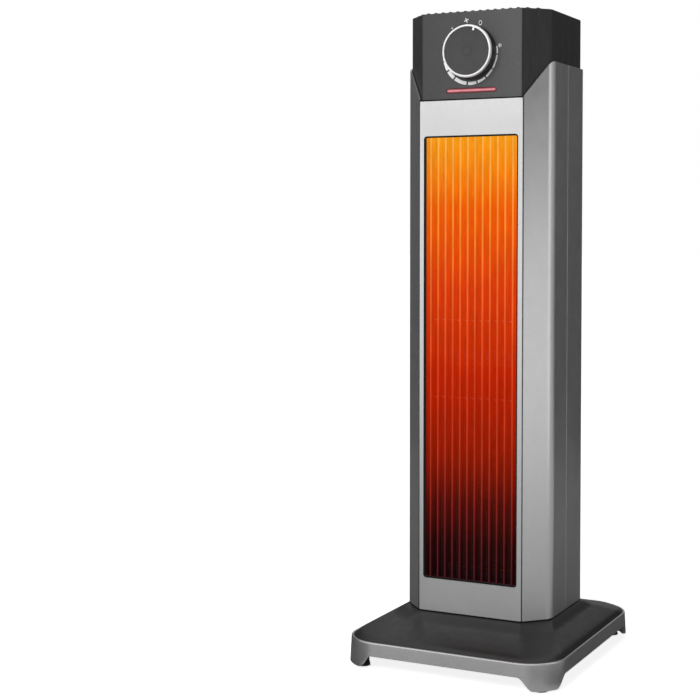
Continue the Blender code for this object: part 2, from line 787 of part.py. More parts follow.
def plate_underside(x, y):
    """Lowest height of the base plate's underside at a place between its edge and the tower."""
    reach_x = (BASE_HALF_WIDTH - abs(x)) / (BASE_HALF_WIDTH - TOWER_HALF_WIDTH)
    reach_y = (BASE_HALF_DEPTH - abs(y)) / (BASE_HALF_DEPTH - TOWER_HALF_DEPTH)
    share = min(max(min(reach_x, reach_y), 0.0), 1.0)
    return plate_height(share) - PLATE_THICKNESS


def base_plate():
    """Dark domed top of the base, with rolled edge, legs for the pads and bosses for the screws."""
    inset = SKIRT_THICKNESS + GAP
    rings = [plate_ring(inset, 0.0, PLATE_WALL_BOTTOM_Z)]
    rings += [plate_ring(inset, share, plate_height(share)) for share in PLATE_RING_SHARES]
    obj = loft("base_plate", rings, cap_first=False)
    shell = obj.modifiers.new("wall", "SOLIDIFY")
    shell.thickness = PLATE_THICKNESS
    shell.offset = -1
    shell.use_even_offset = True
    leg_low = PAD_BODY_HEIGHT + GAP
    legs = []
    core_top = plate_height(PLATE_ROLL_SHARE) - PLATE_THICKNESS + LEG_EMBED
    for x, y in pad_centres():
        legs.append(((x, y, leg_low), (x, y, PLATE_EDGE_Z - GAP), PAD_RADIUS - GAP))
    core_back = PAD_RADIUS - LEG_CORE_RADIUS - 2 * GAP
    cores = [
        ((x, y, leg_low + GAP), (x, y, core_top), LEG_CORE_RADIUS) for x, y in pad_centres(core_back)
    ]
    for x, y in base_screw_places():
        legs.append(((x, y, BASE_BOSS_BOTTOM_Z), (x, y, PLATE_TOP_Z - PLATE_THICKNESS / 2), BASE_BOSS_RADIUS))
    legs.append(
        (
            (TIP_X, TIP_Y, TIP_TOP_Z + GAP),
            (TIP_X, TIP_Y, plate_underside(TIP_X, TIP_Y) + LEG_EMBED),
            TIP_HALF_DEPTH,
        )
    )
    join(obj, rods("base_plate_legs", legs, ROUND_STEPS), "legs")
    join(obj, rods("base_plate_cores", cores, SMALL_STEPS), "cores")
    stem = PAD_STEM_RADIUS + GAP
    stem_top = PAD_BODY_HEIGHT + PAD_STEM_HEIGHT + GAP
    bores = [((x, y, 0), (x, y, stem_top), stem) for x, y in pad_centres()]
    hole = SCREW_RADIUS + SCREW_CLEARANCE
    bores += [((x, y, 0), (x, y, PLATE_TOP_Z + OVERRUN), hole) for x, y in base_screw_places()]
    cable_top = (CABLE_HOLE_X, CABLE_HOLE_Y, PLATE_TOP_Z + OVERRUN)
    bores.append(((CABLE_HOLE_X, CABLE_HOLE_Y, 0), cable_top, CABLE_HOLE_RADIUS))
    cut(obj, rods("base_plate_bores", bores), "bores")
    return finish_object(obj, BASE_DARK)


def foot_pads():
    """Rubber pad under each leg, held by a stem."""
    profile = [
        (0.0, PAD_BODY_HEIGHT + PAD_STEM_HEIGHT),
        (PAD_STEM_RADIUS, PAD_BODY_HEIGHT + PAD_STEM_HEIGHT),
        (PAD_STEM_RADIUS, PAD_BODY_HEIGHT),
        (PAD_RADIUS, PAD_BODY_HEIGHT),
        (PAD_RADIUS, PAD_BRIM_HEIGHT),
        (PAD_RADIUS + PAD_BRIM, PAD_BRIM_HEIGHT),
        (PAD_RADIUS + PAD_BRIM, PAD_FLOOR_ROUND),
        (PAD_RADIUS + PAD_BRIM - PAD_FLOOR_ROUND, 0.0),
        (0.0, 0.0),
    ]
    for name, (x, y) in zip(CORNER_NAMES, pad_centres()):
        finish_object(turned("foot_pad_" + name, profile, place=(x, y, 0)), RUBBER)


def screw(name, place, turn, length):
    """Pan-head screw with a drive recess, its head on its seat."""
    profile = [
        (0.0, SCREW_HEAD_HEIGHT - SCREW_DRIVE_DEPTH),
        (SCREW_DRIVE_RADIUS, SCREW_HEAD_HEIGHT - SCREW_DRIVE_DEPTH),
        (SCREW_DRIVE_RADIUS, SCREW_HEAD_HEIGHT),
        (SCREW_HEAD_RADIUS * SCREW_CROWN_SHARE, SCREW_HEAD_HEIGHT),
        (SCREW_HEAD_RADIUS, 0.0),
        (SCREW_RADIUS, 0.0),
        (SCREW_RADIUS, -length),
        (0.0, -length),
    ]
    obj = turned(name, profile, SCREW_STEPS, place=place)
    obj.rotation_euler = turn
    return finish_object(obj, STEEL)


def base_screws():
    """Screws from under the base plate up into the tower's floor."""
    length = FLOOR_BOSS_TOP_Z - BASE_BOSS_BOTTOM_Z
    for name, (x, y) in zip(CORNER_NAMES, base_screw_places()):
        screw("base_screw_" + name, (x, y, BASE_BOSS_BOTTOM_Z - GAP), (math.pi, 0, 0), length)


def housing_screws():
    """Screws from the wells in the rear housing into the front housing's posts."""
    length = SCREW_SEAT_Y - SEAM_Y + SCREW_FRONT_REACH
    for side_name, side in (("left", -1), ("right", 1)):
        for height_name, z in zip(("lower", "middle", "upper"), post_heights()):
            name = "housing_screw_" + height_name + "_" + side_name
            screw(name, (side * POST_X, SCREW_SEAT_Y + GAP, z), (-math.pi / 2, 0, 0), length)


def tower_floor():
    """Dark floor of the tower, with the ledge that shows as the reveal above the base."""
    low = PLATE_TOP_Z + GAP
    seat = TOWER_BOTTOM_Z - GAP
    inside = WALL + GAP
    hole = circle(CABLE_HOLE_X, CABLE_HOLE_Y, CABLE_HOLE_RADIUS)
    wide = [tower_outline(FLOOR_LEDGE_INSET, FLOOR_LEDGE_INSET), hole]
    obj = extruded("tower_floor", wide, low, seat)
    wide_hole = circle(CABLE_HOLE_X, CABLE_HOLE_Y, CABLE_HOLE_RADIUS + GAP)
    narrow = [tower_outline(inside, inside), wide_hole]
    plug = extruded("tower_floor_plug", narrow, low + (seat - low) / 2, low + FLOOR_THICKNESS)
    join(obj, plug, "plug")
    bosses = [
        ((x, y, low + FLOOR_THICKNESS / 2), (x, y, FLOOR_BOSS_TOP_Z), FLOOR_BOSS_RADIUS)
        for x, y in base_screw_places()
    ]
    join(obj, rods("tower_floor_bosses", bosses), "bosses")
    bores = [
        ((x, y, low - OVERRUN), (x, y, FLOOR_BOSS_TOP_Z + OVERRUN), SCREW_RADIUS + SCREW_CLEARANCE)
        for x, y in base_screw_places()
    ]
    cut(obj, rods("tower_floor_bores", bores), "bores")
    return finish_object(obj, BLACK)


def ear_cutter(side):
    """Wedge above the diagonal edge of one ear, square to the chamfer."""
    front, corner = tower_corners(0.0, 0.0)
    run = Vector((corner[0] - front[0], corner[1] - front[1]))
    length = run.length
    top = EAR_TOP_Z + OVERRUN
    profile = rounded_path(
        [
            (-OVERRUN, FRONT_TOP_Z, 0.0),
            (0.0, FRONT_TOP_Z, 0.0),
            (EAR_RUN, EAR_TOP_Z, EAR_RADIUS),
            (length + OVERRUN, EAR_TOP_Z, 0.0),
            (length + OVERRUN, top, 0.0),
            (-OVERRUN, top, 0.0),
        ]
    )
    name = "ear_cut_right" if side > 0 else "ear_cut_left"
    wedge = extruded(name, [profile], -(WALL + OVERRUN), OVERRUN, axis="Z")
    along = (run / length).to_3d()
    up = Vector((0, 0, 1))
    outward = along.cross(up)
    turn = Matrix((along, up, outward)).transposed().to_4x4()
    place = Matrix.Translation((front[0], front[1], 0)) @ turn
    if side < 0:
        place = Matrix.Scale(-1, 4, (1, 0, 0)) @ place
    wedge.data.transform(place)
    if side < 0:
        wedge.data.flip_normals()
    return wedge


def housing_posts(name, near_y, far_y):
    """Screw posts at both sides and three heights, between two depths."""
    return rods(
        name,
        [
            ((side * POST_X, near_y, z), (side * POST_X, far_y, z), POST_RADIUS)
            for side in (-1, 1)
            for z in post_heights()
        ],
    )


def front_housing():
    """Silver front half: chamfered corners, raised ears, air outlet and screw posts."""
    outer = tower_outline(0.0, 0.0, start_y=SEAM_Y)
    inner = tower_outline(WALL, WALL, start_y=SEAM_Y)
    obj = wall("front_housing", outer, inner, TOWER_BOTTOM_Z, EAR_TOP_Z)
    join(obj, housing_posts("front_posts", POST_FRONT_Y, SEAM_Y - GAP), "posts")
    front, _ = tower_corners(0.0, 0.0)
    level = [
        (
            (-front[0] - GAP, -TOWER_HALF_DEPTH - OVERRUN, FRONT_TOP_Z),
            (front[0] + GAP, -TOWER_HALF_DEPTH + WALL + OVERRUN, EAR_TOP_Z + OVERRUN),
        )
    ]
    cut(obj, boxes("front_top_cut", level), "front_top")
    cut(obj, ear_cutter(1), "right_ear")
    cut(obj, ear_cutter(-1), "left_ear")
    window = rectangle(
        -OPENING_HALF_WIDTH, OPENING_BOTTOM_Z, OPENING_HALF_WIDTH, OPENING_TOP_Z, OPENING_RADIUS
    )
    low = -TOWER_HALF_DEPTH - OVERRUN
    cut(obj, extruded("outlet_cut", [window], low, -TOWER_HALF_DEPTH + WALL + OVERRUN, axis="Y"), "outlet")
    tips = [
        (
            (side * POST_X, SEAM_Y - SCREW_FRONT_REACH - OVERRUN, z),
            (side * POST_X, SEAM_Y + OVERRUN, z),
            SCREW_RADIUS + SCREW_CLEARANCE,
        )
        for side in (-1, 1)
        for z in post_heights()
    ]
    cut(obj, rods("front_post_bores", tips), "bores")
    return finish_object(obj, SILVER)


def intake_slots():
    """Grid of air slots in the rear wall."""
    rise = (INTAKE_TOP_Z - INTAKE_BOTTOM_Z) / INTAKE_ROWS
    slot_height = rise * INTAKE_SLOT_SHARE
    width = (2 * INTAKE_HALF_WIDTH - (INTAKE_COLUMNS - 1) * INTAKE_RIB_WIDTH) / INTAKE_COLUMNS
    extents = []
    for row in range(INTAKE_ROWS):
        low_z = INTAKE_BOTTOM_Z + row * rise + (rise - slot_height) / 2
        for column in range(INTAKE_COLUMNS):
            low_x = -INTAKE_HALF_WIDTH + column * (width + INTAKE_RIB_WIDTH)
            extents.append(
                (
                    (low_x, TOWER_HALF_DEPTH - WALL - OVERRUN, low_z),
                    (low_x + width, TOWER_HALF_DEPTH + OVERRUN, low_z + slot_height),
                )
            )
    return boxes("intake_slots", extents)


def rear_housing():
    """Silver rear half: air intake, cord inlet and screw posts."""
    obj = wall("rear_housing", rear_outline(0.0), rear_outline(WALL), TOWER_BOTTOM_Z, EAR_TOP_Z)
    join(obj, housing_posts("rear_posts", SEAM_Y + GAP, TOWER_HALF_DEPTH - BITE), "posts")
    back = TOWER_HALF_DEPTH
    hole = SCREW_RADIUS + SCREW_CLEARANCE
    cut(obj, intake_slots(), "intake")
    holes = [((0, back - WALL - OVERRUN, GLAND_Z), (0, back + OVERRUN, GLAND_Z), GLAND_RADIUS + GAP)]
    for side in (-1, 1):
        for z in post_heights():
            x = side * POST_X
            holes.append(((x, SEAM_Y - OVERRUN, z), (x, SCREW_SEAT_Y + OVERRUN, z), hole))
    cut(obj, rods("rear_bores", holes), "bores")
    wells = [
        (
            (side * POST_X, SCREW_SEAT_Y, z),
            (side * POST_X, back + OVERRUN, z),
            SCREW_HEAD_RADIUS + SCREW_CLEARANCE,
        )
        for side in (-1, 1)
        for z in post_heights()
    ]
    cut(obj, rods("screw_wells", wells), "wells")
    return finish_object(obj, SILVER)


def slat_places():
    """Positions of the vertical slats across the grille."""
    pitch = SLAT_SPAN / (SLAT_COUNT - 1)
    return [-SLAT_SPAN / 2 + pitch * k for k in range(SLAT_COUNT)]


def slat_section(x, front_y):
    """Plan of one slat: round nose, slim tail."""
    half = SLAT_THICKNESS / 2
    turns = [math.pi * (1 + k / SLAT_NOSE_STEPS) for k in range(SLAT_NOSE_STEPS + 1)]
    nose = [(x + half * math.cos(turn), front_y + half + half * math.sin(turn)) for turn in turns]
    back_y = front_y + SLAT_DEPTH
    return nose + [(x + half / 2, back_y), (x - half / 2, back_y)]


def front_grille():
    """Black louvre: flange behind the outlet, rim inside it, vertical slats and two cross ribs."""
    face = -TOWER_HALF_DEPTH
    inner_face = face + WALL + GAP
    rim_x = OPENING_HALF_WIDTH - GAP
    rim_low, rim_high = OPENING_BOTTOM_Z + GAP, OPENING_TOP_Z - GAP
    hole = rectangle(
        -rim_x + GRILLE_RIM_WIDTH,
        rim_low + GRILLE_RIM_WIDTH,
        rim_x - GRILLE_RIM_WIDTH,
        rim_high - GRILLE_RIM_WIDTH,
        OPENING_RADIUS / 2,
    )
    rim = rectangle(-rim_x, rim_low, rim_x, rim_high, OPENING_RADIUS)
    back = inner_face + GRILLE_FLANGE_THICKNESS
    obj = extruded("front_grille", [rim, hole], face + GRILLE_RIM_RECESS, back + BITE, "Y")
    flange = rectangle(
        -rim_x - GRILLE_FLANGE, rim_low - GRILLE_FLANGE, rim_x + GRILLE_FLANGE, rim_high + GRILLE_FLANGE
    )
    buried = GRILLE_RIM_WIDTH / 2
    flange_hole = rectangle(-rim_x + buried, rim_low + buried, rim_x - buried, rim_high - buried)
    join(obj, extruded("grille_flange", [flange, flange_hole], inner_face, back, "Y"), "flange")
    slat_front = face + SLAT_RECESS
    sections = [slat_section(x, slat_front) for x in slat_places()]
    slats = extruded("grille_slats", sections, rim_low + buried, rim_high - buried)
    join(obj, slats, "slats")
    middle = (OPENING_BOTTOM_Z + OPENING_TOP_Z) / 2
    half = CROSS_RIB_HEIGHT / 2
    ribs = []
    for side in (-1, 1):
        z = middle + side * CROSS_RIB_SPACING / 2
        rib_y = slat_front + (SLAT_DEPTH - CROSS_RIB_DEPTH) / 2
        reach = rim_x - GRILLE_RIM_WIDTH / 2
        ribs.append(((-reach, rib_y - SLAT_RECESS / 2, z - half), (reach, rib_y + CROSS_RIB_DEPTH, z + half)))
    join(obj, boxes("grille_ribs", ribs), "ribs")
    return finish_object(obj, BLACK)


def panel_face_y():
    """Depth of the control panel's front face."""
    return -TOWER_HALF_DEPTH + HEAD_FRONT_INSET


def capsule(half_length, half_height, z):
    """Slot outline with round ends."""
    radius = half_height * LENS_ROUND_SHARE
    return rectangle(-half_length, z - half_height, half_length, z + half_height, radius, steps=CAPSULE_STEPS)


def control_head():
    """Charcoal head nested between the ears: ribbed top, grip recess, holes for knob and lamp."""
    side_inset = WALL + GAP
    low = FRONT_TOP_Z + REVEAL
    outer = tower_outline(side_inset, HEAD_FRONT_INSET)
    obj = extruded("control_head", [outer], low - OVERRUN, HEAD_TOP_Z)
    edge = obj.modifiers.new("edges", "BEVEL")
    edge.width = HEAD_EDGE_ROUND
    edge.segments = EDGE_SEGMENTS
    edge.limit_method = "ANGLE"
    edge.angle_limit = EDGE_ANGLE
    inner = tower_outline(side_inset + HEAD_WALL, HEAD_FRONT_INSET + HEAD_WALL)
    cut(obj, extruded("head_hollow", [inner], low - 2 * OVERRUN, HEAD_TOP_Z - HEAD_WALL), "hollow")
    cut(obj, extruded("head_foot", [tower_outline(0.0, 0.0)], low - 2 * OVERRUN, low), "foot")
    ribs = []
    front, side = tower_corners(side_inset, HEAD_FRONT_INSET)
    rear_y = TOWER_HALF_DEPTH - REAR_CORNER_RADIUS
    for k in range(-TOP_RIB_PAIRS, TOP_RIB_PAIRS + 1):
        x = k * TOP_RIB_PITCH
        reach = abs(x) + TOP_RIB_WIDTH / 2
        along = max(reach - front[0], 0.0) / (side[0] - front[0])
        start_y = front[1] + (side[1] - front[1]) * along + TOP_RIB_MARGIN
        half = TOP_RIB_WIDTH / 2
        ribs.append(((x - half, start_y, HEAD_TOP_Z - BITE), (x + half, rear_y, HEAD_TOP_Z + TOP_RIB_HEIGHT)))
    join(obj, boxes("top_ribs", ribs), "ribs")
    back = TOWER_HALF_DEPTH - side_inset
    pocket = rectangle(
        -HANDLE_HALF_WIDTH - HEAD_WALL,
        HANDLE_BOTTOM_Z - HEAD_WALL,
        HANDLE_HALF_WIDTH + HEAD_WALL,
        HANDLE_TOP_Z + HEAD_WALL,
        HANDLE_RADIUS + HEAD_WALL,
    )
    grip_front = back - HANDLE_DEPTH
    join(obj, extruded("grip_block", [pocket], grip_front - HEAD_WALL, back - BITE, axis="Y"), "grip")
    hollow = rectangle(
        -HANDLE_HALF_WIDTH, HANDLE_BOTTOM_Z, HANDLE_HALF_WIDTH, HANDLE_TOP_Z, HANDLE_RADIUS
    )
    cut(obj, extruded("grip_hollow", [hollow], grip_front, back + OVERRUN, axis="Y"), "grip_hollow")
    face = panel_face_y()
    inside = face + HEAD_WALL + OVERRUN / 2
    bush = circle(0, KNOB_Z, SWITCH_BUSH_RADIUS + GAP)
    slot = capsule(LENS_HALF_LENGTH + GAP, LENS_HALF_HEIGHT + GAP, LENS_Z)
    cut(obj, extruded("panel_holes", [bush, slot], face - OVERRUN, inside, "Y"), "panel_holes")
    return finish_object(obj, CHARCOAL)


def axis_empty(name, place):
    """Empty that marks a joint's axis and carries the moving pieces."""
    marker = bpy.data.objects.new(name, None)
    marker.location = place
    marker.empty_display_size = KNOB_RADIUS
    HEATER.objects.link(marker)
    return marker


def control_knob(marker):
    """Knob with a dished face, a hollow back and a socket for the shaft, about its own axis."""
    top = GAP + KNOB_HEIGHT
    ring_inner = KNOB_RADIUS - KNOB_RING_WIDTH
    seat = top - KNOB_RING_DEPTH
    hub_low = top - KNOB_RING_DEPTH - KNOB_HUB_LENGTH
    profile = [(ring_inner * across, top - KNOB_DISH * down) for across, down in KNOB_DISH_SHARES]
    profile += [
        (ring_inner - GAP, top),
        (ring_inner - GAP, seat - GAP),
        (KNOB_RADIUS, seat - GAP),
        (KNOB_RADIUS + KNOB_SKIRT_DRAFT, GAP),
        (KNOB_RADIUS - KNOB_HOLLOW_WALL, GAP),
        (KNOB_RADIUS - KNOB_HOLLOW_WALL, seat - KNOB_HOLLOW_WALL),
        (KNOB_HUB_RADIUS, seat - KNOB_HOLLOW_WALL),
        (KNOB_HUB_RADIUS, hub_low),
        (SHAFT_RADIUS + SHAFT_CLEARANCE, hub_low),
        (SHAFT_RADIUS + SHAFT_CLEARANCE, hub_low + KNOB_SOCKET_DEPTH),
        (0.0, hub_low + KNOB_SOCKET_DEPTH),
    ]
    obj = turned("control_knob", profile, FINE_STEPS, facing_front=True)
    obj.parent = marker
    return finish_object(obj, KNOB_BLACK)


def knob_ring(marker):
    """White bezel on the knob's rim with the pointer that reads against the dial."""
    top = GAP + KNOB_HEIGHT
    inner = KNOB_RADIUS - KNOB_RING_WIDTH
    low = top - KNOB_RING_DEPTH
    profile = [
        (inner, top + RING_PROUD),
        (inner + KNOB_RING_WIDTH * KNOB_RING_FLAT_SHARE, top + RING_PROUD),
        (KNOB_RADIUS, top - RING_PROUD),
        (KNOB_RADIUS, low),
        (inner, low),
    ]
    obj = turned("knob_ring", profile, FINE_STEPS, closed=True, facing_front=True)
    obj.parent = marker
    half = POINTER_WIDTH / 2
    tab_low = (-half, inner - POINTER_LENGTH, top + GAP)
    tab_high = (half, inner + KNOB_RING_WIDTH / 2, top + GAP + POINTER_PROUD)
    tab = boxes("pointer_tab", [(tab_low, tab_high)])
    tab.data.transform(Matrix.Rotation(-POINTER_ANGLE, 4, "Z"))
    tab.rotation_euler = (math.pi / 2, 0, 0)
    tab.parent = marker
    join(obj, tab, "pointer")
    return finish_object(obj, WHITE)


def knob_shaft(marker):
    """Switch shaft with a flat, from inside the switch to the knob's socket."""
    top = GAP + KNOB_HEIGHT
    hub_low = top - KNOB_RING_DEPTH - KNOB_HUB_LENGTH
    tip = hub_low + KNOB_SOCKET_DEPTH - GAP
    root = -(HEAD_WALL + SWITCH_DEPTH / 2)
    obj = extruded("knob_shaft", [shaft_section()], root, tip)
    obj.rotation_euler = (math.pi / 2, 0, 0)
    obj.parent = marker
    return finish_object(obj, STEEL)


def shaft_section():
    """Round section with one flat."""
    points = []
    for x, y in circle(0, 0, SHAFT_RADIUS, SHAFT_STEPS):
        points.append((x, min(y, SHAFT_RADIUS - SHAFT_FLAT)))
    return points


def rotary_switch():
    """Thermostat and selector switch behind the panel, with its bush and terminal tabs."""
    face = panel_face_y() + HEAD_WALL + GAP
    back = face + SWITCH_DEPTH
    low, high = KNOB_Z - SWITCH_HALF, KNOB_Z + SWITCH_HALF
    body = rectangle(-SWITCH_HALF, low, SWITCH_HALF, high, SWITCH_CORNER_RADIUS)
    obj = extruded("rotary_switch", [body], face, back, "Y")
    lines = [((0, face - SWITCH_BUSH_LENGTH / 2, KNOB_Z), (0, face + BITE, KNOB_Z), SWITCH_BUSH_RADIUS)]
    join(obj, rods("switch_bush", lines, MEDIUM_STEPS), "bush")
    tabs = []
    for k in (-1, 0, 1):
        z = KNOB_Z + k * SWITCH_TAB_SPACING
        half_width, half_thickness = SWITCH_TAB_WIDTH / 2, SWITCH_TAB_THICKNESS / 2
        tabs.append(
            (
                (-half_width, back - BITE, z - half_thickness),
                (half_width, back + SWITCH_TAB_HEIGHT, z + half_thickness),
            )
        )
    join(obj, boxes("switch_tabs", tabs), "tabs")
    bore = [
        (
            (0, face - SWITCH_BUSH_LENGTH, KNOB_Z),
            (0, face + SWITCH_DEPTH / 2 + GAP, KNOB_Z),
            SHAFT_RADIUS + SHAFT_CLEARANCE,
        )
    ]
    cut(obj, rods("switch_bore", bore, MEDIUM_STEPS), "bore")
    return finish_object(obj, SWITCH_CREAM)


def indicator_lens():
    """Red light bar in the panel's slot, held by a flange from behind."""
    face = panel_face_y()
    inner = face + HEAD_WALL + GAP
    bar = capsule(LENS_HALF_LENGTH, LENS_HALF_HEIGHT, LENS_Z)
    obj = extruded("indicator_lens", [bar], face - LENS_PROUD, inner + LENS_FLANGE_THICKNESS / 2, "Y")
    rim = capsule(LENS_HALF_LENGTH + LENS_FLANGE, LENS_HALF_HEIGHT + LENS_FLANGE, LENS_Z)
    join(obj, extruded("lens_flange", [rim], inner, inner + LENS_FLANGE_THICKNESS, "Y"), "flange")
    return finish_object(obj, RED_LENS)


def indicator_lamp():
    """Small lamp lying behind the lens."""
    inner = panel_face_y() + HEAD_WALL + LENS_FLANGE_THICKNESS + 2 * GAP
    y = inner + LAMP_RADIUS
    half = LAMP_LENGTH / 2
    tip_round = LAMP_RADIUS * LAMP_ROUND_SHARE
    profile = [
        (0.0, half),
        (tip_round, half),
        (LAMP_RADIUS, half - tip_round),
        (LAMP_RADIUS, -half + tip_round),
        (tip_round, -half),
        (0.0, -half),
    ]
    obj = turned("indicator_lamp", profile, SMALL_STEPS, place=(0, y, LENS_Z))
    obj.rotation_euler = (0, math.pi / 2, 0)
    return finish_object(obj, LAMP_GLASS)


def cord_gland():
    """Cord inlet bush in the rear wall."""
    face = TOWER_HALF_DEPTH
    out_z = GLAND_FLANGE_THICKNESS
    inner = -(WALL + GLAND_FLANGE_THICKNESS)
    tip = out_z + GLAND_NECK_LENGTH
    profile = [
        (GLAND_BORE_RADIUS, tip),
        (GLAND_TIP_RADIUS, tip),
        (GLAND_RADIUS, out_z),
        (GLAND_FLANGE_RADIUS, out_z),
        (GLAND_FLANGE_RADIUS, GAP),
        (GLAND_RADIUS, GAP),
        (GLAND_RADIUS, inner),
        (GLAND_BORE_RADIUS, inner),
    ]
    obj = turned("cord_gland", profile, ROUND_STEPS, closed=True, place=(0, face, GLAND_Z))
    obj.rotation_euler = (-math.pi / 2, 0, 0)
    return finish_object(obj, RUBBER)


def mouth_corner(start, mouth, side):
    """Outer corner of a duct wall at its mouth, square to the wall's last run."""
    run = (Vector(mouth) - Vector(start)).normalized()
    return tuple(Vector(mouth) + Vector((-run.y, run.x)) * side * DUCT_WALL)


def scroll_wall():
    """Plan of the curved wall that wraps the wheel and leads to the outlet."""
    inner, outer = [], []
    start_radius = WHEEL_RADIUS + DUCT_CLEARANCE
    for k in range(SCROLL_STEPS + 1):
        share = k / SCROLL_STEPS
        angle = DUCT_START + (DUCT_END - DUCT_START) * share
        radius = start_radius + DUCT_GROWTH * share
        unit = Vector((math.cos(angle), math.sin(angle)))
        centre = Vector((BLOWER_X, BLOWER_Y))
        inner.append(tuple(centre + unit * radius))
        outer.append(tuple(centre + unit * (radius + DUCT_WALL)))
    mouth = (-DUCT_HALF_MOUTH, DUCT_MOUTH_Y)
    outer.append(mouth_corner(inner[-1], mouth, -1))
    inner.append(mouth)
    return inner + list(reversed(outer))


def tongue_wall():
    """Plan of the short wall that closes the wheel off from the outlet's other side."""
    unit = Vector((math.cos(TONGUE_ANGLE), math.sin(TONGUE_ANGLE)))
    centre = Vector((BLOWER_X, BLOWER_Y))
    near = centre + unit * (WHEEL_RADIUS + TONGUE_CLEARANCE)
    far = near + unit * DUCT_WALL
    mouth = (DUCT_HALF_MOUTH, DUCT_MOUTH_Y)
    return [tuple(near), mouth, mouth_corner(near, mouth, 1), tuple(far)]


def shelf_outline():
    """Plan of a duct end plate that spans the inside of the tower."""
    inside = WALL + 2 * GAP
    front, side = tower_corners(inside, inside)
    rear_y = TOWER_HALF_DEPTH - inside
    share = (SHELF_FRONT_Y - front[1]) / (side[1] - front[1])
    cut_x = front[0] + (side[0] - front[0]) * share
    half = [
        (cut_x, SHELF_FRONT_Y, 0.0),
        (side[0], side[1], 0.0),
        (side[0], rear_y, REAR_CORNER_RADIUS),
    ]
    mirrored = [(-x, y, radius) for x, y, radius in reversed(half)]
    return rounded_path(mirrored + half, steps=TOWER_CORNER_STEPS)


def wire_slot():
    """Opening in an end plate for the leads."""
    return rectangle(
        -WIRE_SLOT_X - WIRE_SLOT_HALF_WIDTH,
        WIRE_SLOT_Y - WIRE_SLOT_HALF_DEPTH,
        -WIRE_SLOT_X + WIRE_SLOT_HALF_WIDTH,
        WIRE_SLOT_Y + WIRE_SLOT_HALF_DEPTH,
    )


def air_duct():
    """Duct of scroll wall and tongue between two end plates that span the tower."""
    low, high = LOWER_SHELF_Z, UPPER_SHELF_Z
    motor_hole = circle(BLOWER_X, BLOWER_Y, MOTOR_NECK_RADIUS + FIT_CLEARANCE, SMALL_STEPS)
    obj = extruded("air_duct", [shelf_outline(), wire_slot(), motor_hole], low, low + SHELF_THICKNESS)
    bearing_hole = circle(BLOWER_X, BLOWER_Y, BEARING_RADIUS + FIT_CLEARANCE, SMALL_STEPS)
    top = extruded(
        "duct_top", [shelf_outline(), wire_slot(), bearing_hole], high, high + SHELF_THICKNESS
    )
    half = SHELF_THICKNESS / 2
    walls = extruded("duct_walls", [scroll_wall(), tongue_wall()], low + half, high + half)
    join(obj, walls, "walls")
    join(obj, top, "top")
    return finish_object(obj, DUCT_GREY)


def blade_section(angle):
    """Plan of one forward-curved blade."""
    points_out, points_in = [], []
    for k in range(BLADE_STEPS + 1):
        share = k / BLADE_STEPS
        radius = WHEEL_INNER_RADIUS + (WHEEL_RADIUS - WHEEL_INNER_RADIUS) * share
        bow = BLADE_BOW * math.sin(math.pi * share) / radius
        turn = angle + BLADE_SWEEP * share + bow
        across = BLADE_THICKNESS / 2 / radius
        points_out.append((radius * math.cos(turn + across), radius * math.sin(turn + across)))
        points_in.append((radius * math.cos(turn - across), radius * math.sin(turn - across)))
    return points_in + list(reversed(points_out))


def blower_wheel(marker):
    """Tangential blower wheel: curved blades through three discs, hub below and stub above."""
    disc_radius = WHEEL_RADIUS + WHEEL_DISC_MARGIN
    thickness = WHEEL_DISC_THICKNESS
    bore = MOTOR_SHAFT_RADIUS + MOTOR_SHAFT_CLEARANCE
    span = WHEEL_TOP_Z - WHEEL_BOTTOM_Z
    profile = [
        (bore, WHEEL_HUB_HEIGHT),
        (WHEEL_HUB_RADIUS, WHEEL_HUB_HEIGHT),
        (WHEEL_HUB_RADIUS, thickness),
        (disc_radius, thickness),
        (disc_radius, 0.0),
        (bore, 0.0),
    ]
    obj = turned("blower_wheel", profile, MEDIUM_STEPS, closed=True)
    obj.parent = marker
    inner = WHEEL_INNER_RADIUS - WHEEL_DISC_MARGIN
    ring = turned(
        "wheel_ring",
        [(inner, thickness), (disc_radius, thickness), (disc_radius, 0.0), (inner, 0.0)],
        MEDIUM_STEPS,
        closed=True,
        place=(0, 0, span / 2),
    )
    cap = turned(
        "wheel_cap",
        [
            (0.0, thickness + STUB_LENGTH),
            (STUB_RADIUS, thickness + STUB_LENGTH),
            (STUB_RADIUS, thickness),
            (disc_radius, thickness),
            (disc_radius, 0.0),
            (0.0, 0.0),
        ],
        MEDIUM_STEPS,
        place=(0, 0, span - thickness),
    )
    sections = [blade_section(2 * math.pi * k / BLADE_COUNT) for k in range(BLADE_COUNT)]
    blades = extruded("wheel_blades", sections, thickness / 2, span - thickness / 2)
    for piece in (ring, cap, blades):
        piece.parent = marker
        join(obj, piece, piece.name)
    return finish_object(obj, WHEEL_GREY)


def motor_low_z():
    """Underside of the motor."""
    return LOWER_SHELF_Z - GAP - MOTOR_HEIGHT


def blower_shaft(marker):
    """Motor shaft up into the wheel's hub."""
    length_up = WHEEL_HUB_HEIGHT
    length_down = WHEEL_BOTTOM_Z - motor_low_z() - MOTOR_HEIGHT / 4
    profile = [
        (0.0, length_up),
        (MOTOR_SHAFT_RADIUS, length_up),
        (MOTOR_SHAFT_RADIUS, -length_down),
        (0.0, -length_down),
    ]
    obj = turned("blower_shaft", profile, SMALL_STEPS)
    obj.parent = marker
    return finish_object(obj, STEEL)


